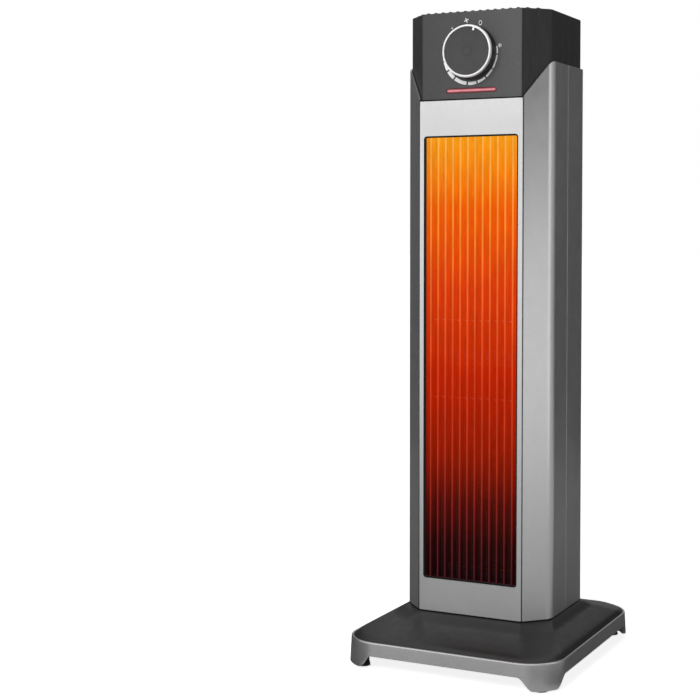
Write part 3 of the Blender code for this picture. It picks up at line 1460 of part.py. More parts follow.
def upper_bearing():
    """Bush in the upper end plate that the wheel's stub turns in."""
    seat = SHELF_THICKNESS + GAP
    bore = STUB_RADIUS + MOTOR_SHAFT_CLEARANCE
    top = seat + BEARING_FLANGE_THICKNESS
    profile = [
        (bore, top),
        (BEARING_FLANGE_RADIUS, top),
        (BEARING_FLANGE_RADIUS, seat),
        (BEARING_RADIUS, seat),
        (BEARING_RADIUS, top - BEARING_LENGTH),
        (bore, top - BEARING_LENGTH),
    ]
    place = (BLOWER_X, BLOWER_Y, UPPER_SHELF_Z)
    obj = turned("upper_bearing", profile, SMALL_STEPS, closed=True, place=place)
    return finish_object(obj, BRONZE)


def fan_motor():
    """Motor under the lower end plate, bored for its shaft, with three fixing lugs."""
    bore = MOTOR_SHAFT_RADIUS + MOTOR_SHAFT_CLEARANCE
    top = MOTOR_HEIGHT
    profile = [
        (bore, top + MOTOR_NECK_HEIGHT - GAP),
        (MOTOR_NECK_RADIUS, top + MOTOR_NECK_HEIGHT - GAP),
        (MOTOR_NECK_RADIUS, top),
        (MOTOR_RADIUS - MOTOR_ROUND, top),
        (MOTOR_RADIUS, top - MOTOR_ROUND),
        (MOTOR_RADIUS, MOTOR_ROUND),
        (MOTOR_RADIUS - MOTOR_ROUND, 0.0),
        (bore, 0.0),
    ]
    obj = turned("fan_motor", profile, MEDIUM_STEPS, closed=True, place=(BLOWER_X, BLOWER_Y, motor_low_z()))
    high = LOWER_SHELF_Z - GAP
    lugs = []
    reach = MOTOR_RADIUS + MOTOR_LUG_RADIUS * MOTOR_LUG_SHARE
    for k in range(MOTOR_LUG_COUNT):
        turn = 2 * math.pi * k / MOTOR_LUG_COUNT + math.pi / 2
        x = BLOWER_X + reach * math.cos(turn)
        y = BLOWER_Y + reach * math.sin(turn)
        lugs.append(((x, y, high - MOTOR_LUG_THICKNESS), (x, y, high), MOTOR_LUG_RADIUS))
    join(obj, rods("motor_lugs", lugs), "lugs")
    return finish_object(obj, MOTOR_STEEL)


def carrier_span():
    """Lowest and highest heights of the element carrier."""
    return LOWER_SHELF_Z + SHELF_THICKNESS + GAP, UPPER_SHELF_Z - GAP


def element_windows():
    """Lower and upper window of the carrier as (low z, high z)."""
    low, high = carrier_span()
    middle = (low + high) / 2
    half_bridge = CARRIER_BRIDGE / 2
    return (low + CARRIER_BORDER, middle - half_bridge), (middle + half_bridge, high - CARRIER_BORDER)


def heater_carrier():
    """Frame across the duct's mouth that holds the two heating elements."""
    low, high = carrier_span()
    back = DUCT_MOUTH_Y - GAP
    loops = [rectangle(-CARRIER_HALF_WIDTH, low, CARRIER_HALF_WIDTH, high)]
    reach = CARRIER_HALF_WIDTH - CARRIER_BORDER
    for window_low, window_high in element_windows():
        loops.append(rectangle(-reach, window_low, reach, window_high))
    obj = extruded("heater_carrier", loops, back - CARRIER_DEPTH, back, "Y")
    return finish_object(obj, CARRIER_GREY)


def heating_element(name, window_low, window_high):
    """Heating element: edge bars, centre bar and corrugated fins as a lattice of triangles."""
    low, high = window_low + GAP, window_high - GAP
    reach = CARRIER_HALF_WIDTH - CARRIER_BORDER - GAP
    loops = [rectangle(-reach, low, reach, high)]
    column_width = (2 * reach - (ELEMENT_COLUMNS + 1) * ELEMENT_BAR) / ELEMENT_COLUMNS
    cell = (high - low - 2 * ELEMENT_EDGE) / ELEMENT_CELLS
    fin = cell * FIN_SHARE
    for column in range(ELEMENT_COLUMNS):
        left = -reach + ELEMENT_BAR + column * (column_width + ELEMENT_BAR)
        right = left + column_width
        for k in range(ELEMENT_CELLS):
            bottom = low + ELEMENT_EDGE + k * cell
            top = bottom + cell
            middle = (bottom + top) / 2
            loops.append([(left, bottom + fin), (right, middle), (left, top - fin)])
            if k:
                half = cell / 2 - fin
                loops.append([(right, bottom - half), (right, bottom + half), (left, bottom)])
    middle_y = DUCT_MOUTH_Y - GAP - CARRIER_DEPTH / 2
    obj = extruded(name, loops, middle_y - ELEMENT_DEPTH / 2, middle_y + ELEMENT_DEPTH / 2, "Y")
    return finish_object(obj, FIN_METAL)


def thermal_cutout():
    """Round thermal cut-out on the side of the carrier near the top."""
    low, high = carrier_span()
    z = low + (high - low) * CUTOUT_Z_SHARE
    y = DUCT_MOUTH_Y - GAP - CARRIER_DEPTH / 2
    profile = [
        (0.0, CUTOUT_LENGTH),
        (CUTOUT_RADIUS, CUTOUT_LENGTH),
        (CUTOUT_RADIUS, CUTOUT_SEAT_THICKNESS),
        (CUTOUT_SEAT_RADIUS, CUTOUT_SEAT_THICKNESS),
        (CUTOUT_SEAT_RADIUS, 0.0),
        (0.0, 0.0),
    ]
    obj = turned("thermal_cutout", profile, ROUND_STEPS, place=(CARRIER_HALF_WIDTH + GAP, y, z))
    obj.rotation_euler = (0, math.pi / 2, 0)
    return finish_object(obj, STEEL)


def floor_top_z():
    """Top of the tower's floor."""
    return PLATE_TOP_Z + GAP + FLOOR_THICKNESS


def terminal_block():
    """Terminal block on the tower's floor, with its clamp screws."""
    low = floor_top_z() + GAP
    top = low + BLOCK_HEIGHT
    well = BLOCK_HEIGHT * BLOCK_WELL_SHARE
    obj = boxes(
        "terminal_block",
        [
            (
                (BLOCK_X - BLOCK_HALF_LENGTH, BLOCK_Y - BLOCK_HALF_DEPTH, low),
                (BLOCK_X + BLOCK_HALF_LENGTH, BLOCK_Y + BLOCK_HALF_DEPTH, top),
            )
        ],
    )
    pitch = 2 * BLOCK_HALF_LENGTH / BLOCK_SCREW_COUNT
    wells = []
    for k in range(BLOCK_SCREW_COUNT):
        x = BLOCK_X - BLOCK_HALF_LENGTH + pitch * (k + 0.5)
        wells.append(((x, BLOCK_Y, top - well), (x, BLOCK_Y, top + OVERRUN), BLOCK_SCREW_RADIUS))
    cut(obj, rods("block_wells", wells), "wells")
    return finish_object(obj, SWITCH_CREAM)


def tube(name, route, radius):
    """Round tube along a route, as a mesh."""
    curve = bpy.data.curves.new(name + "_route", "CURVE")
    curve.dimensions = "3D"
    curve.bevel_depth = radius
    curve.bevel_resolution = 1
    curve.use_fill_caps = True
    spline = curve.splines.new("POLY")
    spline.points.add(len(route) - 1)
    for point, place in zip(spline.points, route):
        point.co = (*place, 1)
    source = bpy.data.objects.new(name + "_route", curve)
    bpy.context.scene.collection.objects.link(source)
    bpy.context.view_layer.update()
    mesh = bpy.data.meshes.new_from_object(source.evaluated_get(bpy.context.evaluated_depsgraph_get()))
    bpy.data.objects.remove(source)
    shape = bmesh.new()
    shape.from_mesh(mesh)
    merge_close(shape)
    bmesh.ops.recalc_face_normals(shape, faces=shape.faces)
    shape.to_mesh(mesh)
    shape.free()
    mesh.materials.clear()
    return bpy.data.objects.new(name, mesh)


def control_leads():
    """Three insulated leads from the terminal block up to the rotary switch."""
    start_z = floor_top_z() + GAP + BLOCK_HEIGHT / 2
    start_x = BLOCK_X - BLOCK_HALF_LENGTH - GAP
    switch_y = panel_face_y() + HEAD_WALL + GAP + SWITCH_DEPTH / 2
    bend = LEAD_BEND
    for k, name in enumerate(("live", "neutral", "heater")):
        shift = (k - 1) * LEAD_SPACING
        slot_y = WIRE_SLOT_Y + shift
        route = [
            (start_x, BLOCK_Y + shift, start_z),
            (-WIRE_SLOT_X + bend / 3, BLOCK_Y + shift, start_z),
            (-WIRE_SLOT_X, BLOCK_Y + shift, start_z + bend / 3),
            (-WIRE_SLOT_X, slot_y, start_z + 3 * bend),
            (-WIRE_SLOT_X, slot_y, LEAD_TOP_Z - bend + shift),
            (-WIRE_SLOT_X + bend, slot_y - bend / 2, LEAD_TOP_Z + bend + shift),
            (-SWITCH_HALF - 2 * bend, switch_y, KNOB_Z + shift),
            (-SWITCH_HALF - GAP, switch_y, KNOB_Z + shift),
        ]
        finish_object(tube("control_lead_" + name, route, LEAD_RADIUS), LEAD_RED)


def tip_switch_housing():
    """Body of the tip-over switch under the base plate, bored for its plunger."""
    obj = boxes(
        "tip_switch_housing",
        [
            (
                (TIP_X - TIP_HALF_WIDTH, TIP_Y - TIP_HALF_DEPTH, TIP_BOTTOM_Z),
                (TIP_X + TIP_HALF_WIDTH, TIP_Y + TIP_HALF_DEPTH, TIP_TOP_Z),
            )
        ],
    )
    radius = PLUNGER_RADIUS + PLUNGER_CLEARANCE
    bore = [((TIP_X, TIP_Y, TIP_BOTTOM_Z - OVERRUN), (TIP_X, TIP_Y, TIP_BORE_TOP_Z), radius)]
    cut(obj, rods("tip_bore", bore), "bore")
    return finish_object(obj, BLACK)


def tip_switch_plunger(marker):
    """Plunger that the floor holds up while the heater stands."""
    profile = [
        (0.0, PLUNGER_TOP_Z),
        (PLUNGER_RADIUS, PLUNGER_TOP_Z),
        (PLUNGER_RADIUS, PLUNGER_FOOT_HEIGHT),
        (PLUNGER_FOOT_RADIUS, PLUNGER_FOOT_HEIGHT),
        (PLUNGER_FOOT_RADIUS, PAD_FLOOR_ROUND),
        (PLUNGER_FOOT_RADIUS - PAD_FLOOR_ROUND, 0.0),
        (0.0, 0.0),
    ]
    obj = turned("tip_switch_plunger", profile, SMALL_STEPS)
    obj.parent = marker
    return finish_object(obj, CHARCOAL)


def build_base():
    """Skirt, top plate, pads, screws and tip-over switch."""
    base_skirt()
    base_plate()
    foot_pads()
    base_screws()
    tip_switch_housing()
    tip_switch_plunger(axis_empty("plunger_axis", (TIP_X, TIP_Y, 0)))


def build_tower():
    """Housings, floor, grille, inlet and the screws that close the tower."""
    tower_floor()
    front_housing()
    rear_housing()
    front_grille()
    cord_gland()
    housing_screws()


def build_head():
    """Head, knob, switch and indicator."""
    control_head()
    knob_axis = axis_empty("knob_axis", (0, panel_face_y(), KNOB_Z))
    control_knob(knob_axis)
    knob_ring(knob_axis)
    knob_shaft(knob_axis)
    rotary_switch()
    indicator_lens()
    indicator_lamp()


def build_works():
    """Duct, blower, motor, heating elements and their wiring."""
    air_duct()
    blower_axis = axis_empty("blower_axis", (BLOWER_X, BLOWER_Y, WHEEL_BOTTOM_Z))
    blower_wheel(blower_axis)
    blower_shaft(blower_axis)
    upper_bearing()
    fan_motor()
    heater_carrier()
    lower, upper = element_windows()
    heating_element("heating_element_lower", *lower)
    heating_element("heating_element_upper", *upper)
    thermal_cutout()
    terminal_block()
    control_leads()


build_base()
build_tower()
build_head()
build_works()
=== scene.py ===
"""Dressed model of a freestanding electric tower heater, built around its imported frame."""

import bpy
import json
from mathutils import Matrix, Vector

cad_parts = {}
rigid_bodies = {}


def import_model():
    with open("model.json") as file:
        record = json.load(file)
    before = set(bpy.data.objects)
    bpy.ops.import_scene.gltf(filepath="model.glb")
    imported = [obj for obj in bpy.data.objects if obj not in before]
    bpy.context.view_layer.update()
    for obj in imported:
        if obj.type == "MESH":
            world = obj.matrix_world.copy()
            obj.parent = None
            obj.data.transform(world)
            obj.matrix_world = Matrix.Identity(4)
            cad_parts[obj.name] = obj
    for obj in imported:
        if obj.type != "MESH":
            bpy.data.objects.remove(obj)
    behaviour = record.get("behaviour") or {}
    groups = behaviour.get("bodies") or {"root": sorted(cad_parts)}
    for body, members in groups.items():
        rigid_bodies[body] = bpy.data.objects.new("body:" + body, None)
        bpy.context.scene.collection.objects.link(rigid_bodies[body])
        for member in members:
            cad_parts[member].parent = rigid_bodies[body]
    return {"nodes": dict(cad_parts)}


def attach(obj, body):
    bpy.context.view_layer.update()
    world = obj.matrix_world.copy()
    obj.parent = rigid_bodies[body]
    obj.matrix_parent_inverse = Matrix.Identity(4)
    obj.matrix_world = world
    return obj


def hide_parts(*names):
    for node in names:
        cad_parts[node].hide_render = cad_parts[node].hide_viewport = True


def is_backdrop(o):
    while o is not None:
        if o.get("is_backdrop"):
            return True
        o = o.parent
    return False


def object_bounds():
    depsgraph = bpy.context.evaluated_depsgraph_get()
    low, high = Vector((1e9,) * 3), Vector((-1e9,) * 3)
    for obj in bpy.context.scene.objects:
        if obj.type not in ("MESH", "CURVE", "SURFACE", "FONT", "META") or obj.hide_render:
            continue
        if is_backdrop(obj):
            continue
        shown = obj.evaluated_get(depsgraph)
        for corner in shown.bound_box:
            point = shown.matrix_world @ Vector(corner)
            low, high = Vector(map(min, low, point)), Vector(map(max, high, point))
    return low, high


for leftover in list(bpy.data.objects):
    bpy.data.objects.remove(leftover)
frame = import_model()
CAD_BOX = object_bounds()

import json
import logging
import math
from collections.abc import Callable, Iterator, Sequence
from dataclasses import dataclass
from enum import Enum

import bmesh
from mathutils import Matrix, Vector

LOG = logging.getLogger("tower_heater")
MM = 0.001
GAP = 0.3 * MM
Colour = tuple[float, float, float]
Corner = tuple[float, float, float, int]
EdgeTest = Callable[[Vector, Vector], bool]
Profile = Sequence[tuple[float, float]]
Socket = bpy.types.NodeSocket
Edge = bmesh.types.BMEdge
Parts = Sequence[object]

# Which way each corner of the base lies from its middle
CORNERS = {"rear_right": (1, 1), "rear_left": (-1, 1), "front_left": (-1, -1), "front_right": (1, -1)}


class Body(Enum):
    """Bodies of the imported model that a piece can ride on."""

    HEATER = "heater"
    KNOB = "knob"
    BLOWER = "blower"
    PLUNGER = "plunger"


class Side(Enum):
    """Side of the heater that a flat drawing is stood up on."""

    FRONT = 1
    REAR = -1


class Rounding(Enum):
    """What a bevel rounds."""

    CORNERS = "VERTICES"
    EDGES = "EDGES"


def colour(code: str) -> Colour:
    """Linear colour of a screen colour.

    Args:
        code: Six hexadecimal digits.

    Returns:
        Red, green and blue as a shader wants them.
    """
    parts = [int(code[k : k + 2], 16) / 255 for k in (0, 2, 4)]
    straight = [p / 12.92 if p <= 0.04045 else ((p + 0.055) / 1.055) ** 2.4 for p in parts]
    return straight[0], straight[1], straight[2]


def shaded(tone: Colour, factor: float) -> Colour:
    """A tone made darker or lighter, held to what a shader takes."""
    red, green, blue = (min(c * factor, 1.0) for c in tone)
    return red, green, blue


def ease(share: float) -> float:
    """Ease from 0 to 1 with level ends."""
    held = min(max(share, 0.0), 1.0)
    return held * held * (3 - 2 * held)


# Finishes


class Graph:
    """Nodes of a material or a world."""

    def __init__(self, owner: bpy.types.ID) -> None:
        """Start with no nodes.

        Args:
            owner: The material or world.
        """
        owner.use_nodes = True
        self.nodes = owner.node_tree.nodes
        self.links = owner.node_tree.links
        self.nodes.clear()

    def _input(self, socket: Socket, value: object) -> None:
        """Link or write one input, whichever the value asks for.

        Args:
            socket: The input.
            value: A socket, a number or a colour.
        """
        if isinstance(value, Socket):
            self.links.new(value, socket)
        else:
            socket.default_value = (*value, 1.0) if isinstance(value, tuple) and len(value) == 3 else value

    def node(self, kind: str, inputs: dict[str | int, object], **settings: object) -> bpy.types.Node:
        """Add a node.

        Args:
            kind: Its type.
            inputs: What goes into each of its sockets.
            settings: Its settings.

        Returns:
            The node.
        """
        made = self.nodes.new(kind)
        for name, setting in settings.items():
            setattr(made, name, setting)
        for key, value in inputs.items():
            self._input(made.inputs[key], value)
        return made

    def maths(self, operation: str, first: object, second: object = 0.0) -> Socket:
        """One step of arithmetic.

        Args:
            operation: Blender's name for it.
            first: A socket or a number.
            second: Another.

        Returns:
            The result.
        """
        return self.node("ShaderNodeMath", {0: first, 1: second}, operation=operation).outputs["Value"]

    def remap(self, value: object, old: Sequence[float], new: Sequence[float] = (0, 1)) -> Socket:
        """Move a value from one range to another and hold it inside.

        Args:
            value: A socket.
            old: Ends of its range.
            new: Ends of the new range.

        Returns:
            The new value.
        """
        ends = dict(zip(("From Min", "From Max", "To Min", "To Max"), (*old, *new)))
        return self.node("ShaderNodeMapRange", {"Value": value, **ends}).outputs["Result"]

    def seen(self) -> Socket:
        """One for what the camera, gloss and glass see, zero for light.

        Returns:
            The share.
        """
        rays = self.node("ShaderNodeLightPath", {}).outputs
        seen = self.maths("MAXIMUM", rays["Is Camera Ray"], rays["Is Glossy Ray"])
        return self.maths("MAXIMUM", seen, rays["Is Transmission Ray"])


class Recipe(Graph):
    """Node graph of one finish, grown from its Principled shader."""

    def __init__(self, name: str) -> None:
        """Start a material with a bare shader.

        Args:
            name: Name of the material.
        """
        self.material = bpy.data.materials.new(name)
        super().__init__(self.material)
        self.shader = self.node("ShaderNodeBsdfPrincipled", {})
        self.node("ShaderNodeOutputMaterial", {"Surface": self.shader.outputs["BSDF"]})
        self.place = self.node("ShaderNodeTexCoord", {}).outputs["Object"]

    def give(self, **values: object) -> None:
        """Write or lead values into the shader's own sockets.

        Args:
            values: Value or pattern for each socket, with _ for a space in its name.
        """
        for name, value in values.items():
            self._input(self.shader.inputs[name.replace("_", " ")], value)

    def paint(self, share: Socket, first: object, second: object) -> None:
        """Lead a blend of two colours into the base colour."""
        self.give(Base_Color=self.blend(share, first, second))

    def spread(self, stretch: Sequence[float], centre: Sequence[float] = (0, 0, 0)) -> Socket:
        """Coordinates moved to a centre and stretched.

        Args:
            stretch: Factor along each axis.
            centre: Point that becomes the origin.

        Returns:
            The coordinates' socket.
        """
        start = [-c * s for c, s in zip(centre, stretch)]
        inputs = {"Vector": self.place, "Scale": list(stretch), "Location": start}
        return self.node("ShaderNodeMapping", inputs, vector_type="POINT").outputs["Vector"]

    def noise(
        self, size: float, stretch: Sequence[float] = (1, 1, 1), detail: float = 3.0, rough: float = 0.55
    ) -> Socket:
        """Cloudy pattern.

        Args:
            size: Width of one cloud in metres.
            stretch: Factor along each axis, small to draw the pattern out.
            detail: Octaves.
            rough: Weight of the finer octaves.

        Returns:
            A value round one half.
        """
        inputs = {"Vector": self.spread(stretch), "Scale": 1 / size, "Detail": detail, "Roughness": rough}
        return self.node("ShaderNodeTexNoise", inputs).outputs["Fac"]

    def clouds(
        self,
        size: float,
        ends: Sequence[float] = (0, 1),
        stretch: Sequence[float] = (1, 1, 1),
        detail: float = 3.0,
        rough: float = 0.55,
        between: Sequence[float] = (0.3, 0.7),
    ) -> Socket:
        """Cloudy pattern held between two values.

        Args:
            size: Width of one cloud in metres.
            ends: Value of the darkest and the lightest places.
            stretch: Factor along each axis.
            detail: Octaves.
            rough: Weight of the finer octaves.
            between: Part of the pattern's range that counts.

        Returns:
            The value.
        """
        return self.remap(self.noise(size, stretch, detail, rough), between, ends)

    def along(self, letter: str) -> Socket:
        """One coordinate of the piece."""
        return self.node("ShaderNodeSeparateXYZ", {"Vector": self.place}).outputs[letter]

    def radius(self, centre: Sequence[float], plane: Sequence[float]) -> Socket:
        """Distance from a centre.

        Args:
            centre: The centre in metres.
            plane: One for an axis that counts, zero for one that doesn't.

        Returns:
            The distance in metres.
        """
        place = self.spread(plane, centre)
        return self.node("ShaderNodeVectorMath", {0: place}, operation="LENGTH").outputs["Value"]

    def blend(self, share: object, first: object, second: object) -> Socket:
        """Colour between two colours."""
        return self.node("ShaderNodeMix", {0: share, 6: first, 7: second}, data_type="RGBA").outputs[2]

    def ramp(self, value: object, stops: Sequence[tuple[float, Colour]]) -> Socket:
        """Colour read off a row of stops by a value from 0 to 1.

        Args:
            value: A value from 0 to 1.
            stops: Place and colour of each stop.

        Returns:
            The colour.
        """
        node = self.node("ShaderNodeValToRGB", {"Fac": value})
        row = node.color_ramp.elements
        while len(row) < len(stops):
            row.new(0.5)
        for element, (at, shade) in zip(row, stops):
            element.position = at
            element.color = (*shade, 1.0)
        return node.outputs["Color"]

    def relief(self, *layers: tuple[Socket, float]) -> None:
        """Give the shader a bumped normal.

        Args:
            layers: Pairs of a height pattern and its depth in metres.
        """
        below = {}
        for height, depth in layers:
            inputs = {"Height": height, "Strength": 1.0, "Distance": depth, **below}
            bump = self.node("ShaderNodeBump", inputs)
            below = {"Normal": bump.outputs["Normal"]}
        self.give(Normal=below["Normal"])

    def grain(self, size: float, depth: float, detail: float = 3.0) -> None:
        """Bump the surface with one cloudy pattern."""
        self.relief((self.noise(size, detail=detail), depth))

    def edge_wear_and_highlight(self, size: float) -> Socket:
        """Share of edge wear and painted highlight on outer edges, broken up in clouds.

        Args:
            size: Width of one cloud in metres.

        Returns:
            The share, from 0 to 1.
        """
        # Convex edges are picked out to be painted lighter: part edge wear, part painted highlight.
        worn_and_lit_edges = self.remap(self.node("ShaderNodeNewGeometry", {}).outputs["Pointiness"], (0.52, 0.62))
        return self.maths("MULTIPLY", worn_and_lit_edges, self.noise(size))


@dataclass(frozen=True)
class Finish:
    """A surface finish with its colour and gloss."""

    name: str
    tone: Colour
    rough: float

    def grow(self, mix: Recipe) -> None:
        """Fill in the material's graph."""
        mix.give(Base_Color=self.tone, Roughness=self.rough)

    def material(self) -> bpy.types.Material:
        """The finish as a material, made once.

        Returns:
            The material.
        """
        found = bpy.data.materials.get(self.name)
        if found is not None:
            return found
        mix = Recipe(self.name)
        self.grow(mix)
        return mix.material

    def mottled(self, mix: Recipe, size: float, amount: float, detail: float = 3.0) -> Socket:
        """The tone with slow clouds in it.

        Args:
            mix: Graph to add to.
            size: Width of a cloud in metres.
            amount: Largest change as a share of the tone.
            detail: Octaves.

        Returns:
            The varied colour.
        """
        dark, light = (shaded(self.tone, 1 + change) for change in (-amount, amount))
        return mix.blend(mix.clouds(size, detail=detail), dark, light)

    def scuffed(self, mix: Recipe, size: float, amount: float) -> None:
        """Let the roughness wander round its value."""
        mix.give(Roughness=mix.clouds(size, (self.rough - amount, self.rough + amount), detail=4.0))


@dataclass(frozen=True)
class MouldedPlastic(Finish):
    """Injection-moulded plastic with a spark-eroded grain."""

    grain: float = 0.45 * MM
    depth: float = 0.010 * MM
    mottle: float = 0.10
    scuff: float = 0.05
    # Factor for the lighter outer edges, part edge wear and part painted highlight.
    edge_wear_and_highlight_tone: float = 1.6

    def grow(self, mix: Recipe) -> None:
        """Grain, faint clouds, and outer edges painted a little lighter, as edge wear and painted highlight.

        Args:
            mix: The material's graph.
        """
        body = self.mottled(mix, 18 * MM, self.mottle)
        # Outer edges painted lighter: edge wear and painted highlight.
        mix.paint(mix.edge_wear_and_highlight(3 * MM), body, shaded(self.tone, self.edge_wear_and_highlight_tone))
        self.scuffed(mix, 9 * MM, self.scuff)
        mix.relief(
            (mix.noise(self.grain, detail=2.0), self.depth),
            (mix.noise(12 * MM, detail=1.0), self.depth * 3),
        )


@dataclass(frozen=True)
class HeadPlastic(MouldedPlastic):
    """Charcoal moulding with painted light: its flat front panel is painted lighter than its sides, and
    lighter from left to right.
    """

    panel_y: float = -0.0564
    panel_half: float = 0.0520
    # Painted light on the front panel: its tone at the left edge and at the right edge.
    panel_painted_light_tones: tuple[float, float] = (0.056, 0.100)

    def grow(self, mix: Recipe) -> None:
        """Front panel with painted light, lighter than the sides and from left to right; faint upright
        streaks on the sides, and a coarse grain all over.

        Args:
            mix: The material's graph.
        """
        streaks = mix.clouds(2.5 * MM, (0, 1), (1, 1, 0.07), detail=4.0)
        side = mix.blend(streaks, shaded(self.tone, 0.72), shaded(self.tone, 1.28))
        # Painted light: the panel grows lighter from left to right and stays lighter than the sides.
        across = mix.remap(mix.along("X"), (-self.panel_half, self.panel_half))
        panel = mix.blend(across, *((tone, tone, tone) for tone in self.panel_painted_light_tones))
        depth = mix.along("Y")
        on_panel = mix.remap(depth, (self.panel_y - 0.3 * MM, self.panel_y + 0.1 * MM), (1.0, 0.0))
        speck = mix.clouds(1.1 * MM, (0.0, 0.34), rough=0.7, between=(0.25, 0.75))
        mix.paint(speck, mix.blend(on_panel, side, panel), (0.008, 0.008, 0.008))
        mix.give(Specular_IOR_Level=0.35)
        self.scuffed(mix, 9 * MM, self.scuff)
        mix.grain(self.grain, self.depth, 2.0)


@dataclass(frozen=True)
class MetallicPaint(Finish):
    """Silver lacquer with fine flake under a satin clear coat."""

    metallic: float = 0.7
    flake: float = 1.3 * MM
    sparkle: float = 0.03
    coat: float = 0.15
    coat_rough: float = 0.25

    def grow(self, mix: Recipe) -> None:
        """Flake in the colour and gloss, drawn-out clouds, slight orange peel, and outer edges painted
        lighter as edge wear and painted highlight.

        Args:
            mix: The material's graph.
        """
        flaked = self.mottled(mix, self.flake, self.sparkle, detail=1.0)
        cloud = mix.clouds(26 * MM, (0.0, 0.16), (1, 1, 0.25))
        clouded = mix.blend(cloud, flaked, shaded(self.tone, 0.7))
        # Outer edges painted lighter: edge wear and painted highlight.
        mix.paint(mix.edge_wear_and_highlight(4 * MM), clouded, shaded(self.tone, 1.12))
        mix.give(Metallic=self.metallic, Coat_Weight=self.coat, Coat_Roughness=self.coat_rough)
        self.scuffed(mix, 14 * MM, 0.025)
        mix.grain(2.2 * MM, 0.004 * MM, 1.0)


@dataclass(frozen=True)
class TowerLacquer(MetallicPaint):
    """Silver lacquer with painted shade: a black line in the groove beside the front panel."""

    gap_x: tuple[float, float] = (0.0513, 0.0523)
    gap_y: float = -0.0560
    groove_painted_shade_tone: float = 0.05

    def grow(self, mix: Recipe) -> None:
        """The lacquer, with painted shade: black inside the groove along each side of the front.

        Args:
            mix: The material's graph.
        """
        super().grow(mix)
        lacquer = mix.shader.inputs["Base Color"].links[0].from_socket
        across = mix.maths("ABSOLUTE", mix.along("X"))
        inside = mix.maths("GREATER_THAN", across, self.gap_x[0])
        inside = mix.maths("MULTIPLY", inside, mix.maths("LESS_THAN", across, self.gap_x[1]))
        inside = mix.maths("MULTIPLY", inside, mix.maths("LESS_THAN", mix.along("Y"), self.gap_y))
        # Painted shade: the groove's shadow painted black into the lacquer.
        mix.paint(inside, lacquer, (self.groove_painted_shade_tone,) * 3)


@dataclass(frozen=True)
class BareMetal(Finish):
    """Plated or drawn metal with fine lines and a little dulling."""

    stretch: tuple[float, float, float] = (1.0, 1.0, 0.06)
    line: float = 0.5 * MM
    depth: float = 0.006 * MM

    def grow(self, mix: Recipe) -> None:
        """Drawn lines in the relief and gloss, dulled in clouds.

        Args:
            mix: The material's graph.
        """
        lines = mix.noise(self.line, self.stretch, detail=4.0, rough=0.65)
        dull = mix.clouds(7 * MM, (0.0, 0.5), between=(0.35, 0.7))
        mix.paint(dull, self.tone, shaded(self.tone, 0.6))
        mix.give(Metallic=1.0)
        mix.give(Roughness=mix.remap(lines, (0.25, 0.75), (self.rough - 0.1, self.rough + 0.12)))
        mix.relief((lines, self.depth))


@dataclass(frozen=True)
class Rubber(Finish):
    """Matt black rubber with a dusty bloom."""

    bloom: Colour = (0.045, 0.044, 0.042)

    def grow(self, mix: Recipe) -> None:
        """Bloom in clouds over a fine, soft grain.

        Args:
            mix: The material's graph.
        """
        dusty = mix.clouds(5 * MM, (0.0, 0.7), detail=5.0, between=(0.4, 0.75))
        mix.paint(dusty, self.tone, self.bloom)
        self.scuffed(mix, 3 * MM, 0.07)
        mix.grain(0.35 * MM, 0.02 * MM)


@dataclass(frozen=True)
class PrintedInk(Finish):
    """Screen-printed white with slightly uneven cover."""

    def grow(self, mix: Recipe) -> None:
        """Thin spots in the ink and a soft gloss.

        Args:
            mix: The material's graph.
        """
        thin = mix.clouds(0.7 * MM, (0.0, 0.35), detail=4.0, between=(0.55, 0.8))
        mix.paint(thin, self.tone, shaded(self.tone, 0.6))
        self.scuffed(mix, 1.5 * MM, 0.08)
        mix.grain(0.3 * MM, 0.004 * MM)


@dataclass(frozen=True)
class SatinWhite(Finish):
    """Smooth moulded white of the knob's bezel."""

    def grow(self, mix: Recipe) -> None:
        """Faint clouds, fingerprints in the gloss and a very fine grain.

        Args:
            mix: The material's graph.
        """
        mix.give(Base_Color=self.mottled(mix, 6 * MM, 0.05), Coat_Weight=0.3, Coat_Roughness=0.2)
        self.scuffed(mix, 4 * MM, 0.05)
        mix.grain(0.5 * MM, 0.004 * MM)


@dataclass(frozen=True)
class KnobPlastic(Finish):
    """Knob moulding: a spun grey face inside a black skirt."""

    centre: tuple[float, float, float] = (0.0, 0.0, 0.5712)
    face_radius: float = 22.3 * MM
    face_tone: Colour = (0.034, 0.034, 0.034)

    def grow(self, mix: Recipe) -> None:
        """Spun rings on the face, a painted lighter middle with a painted dark ring round the hub, and a
        black, grained skirt.

        Args:
            mix: The material's graph.
        """
        reach = mix.radius(self.centre, (1, 0, 1))
        # Painted highlight on the middle and painted shade in a ring round the raised hub's step.
        shade = mix.ramp(
            mix.remap(reach, (0.0, self.face_radius), (0.0, 1.0)),
            (
                (0.0, shaded(self.face_tone, 1.10)),
                (0.16, self.face_tone),
                (0.20, shaded(self.face_tone, 0.72)),
                (0.26, self.face_tone),
                (0.97, self.face_tone),
                (1.0, self.tone),
            ),
        )
        mix.paint(mix.clouds(9 * MM, (0.0, 0.25)), shade, shaded(self.tone, 0.7))
        self.scuffed(mix, 6 * MM, 0.05)
        rings = mix.maths("SINE", mix.maths("MULTIPLY", reach, 2 * math.pi / (0.45 * MM)))
        on_face = mix.remap(reach, (self.face_radius, self.face_radius + 0.2 * MM), (1.0, 0.0))
        mix.relief(
            (mix.maths("MULTIPLY", rings, on_face), 0.0022 * MM),
            (mix.noise(0.4 * MM), 0.006 * MM),
        )
        mix.give(Anisotropic=0.35)


GLOW_LOW_Z = 0.0771
GLOW_HIGH_Z = 0.4946

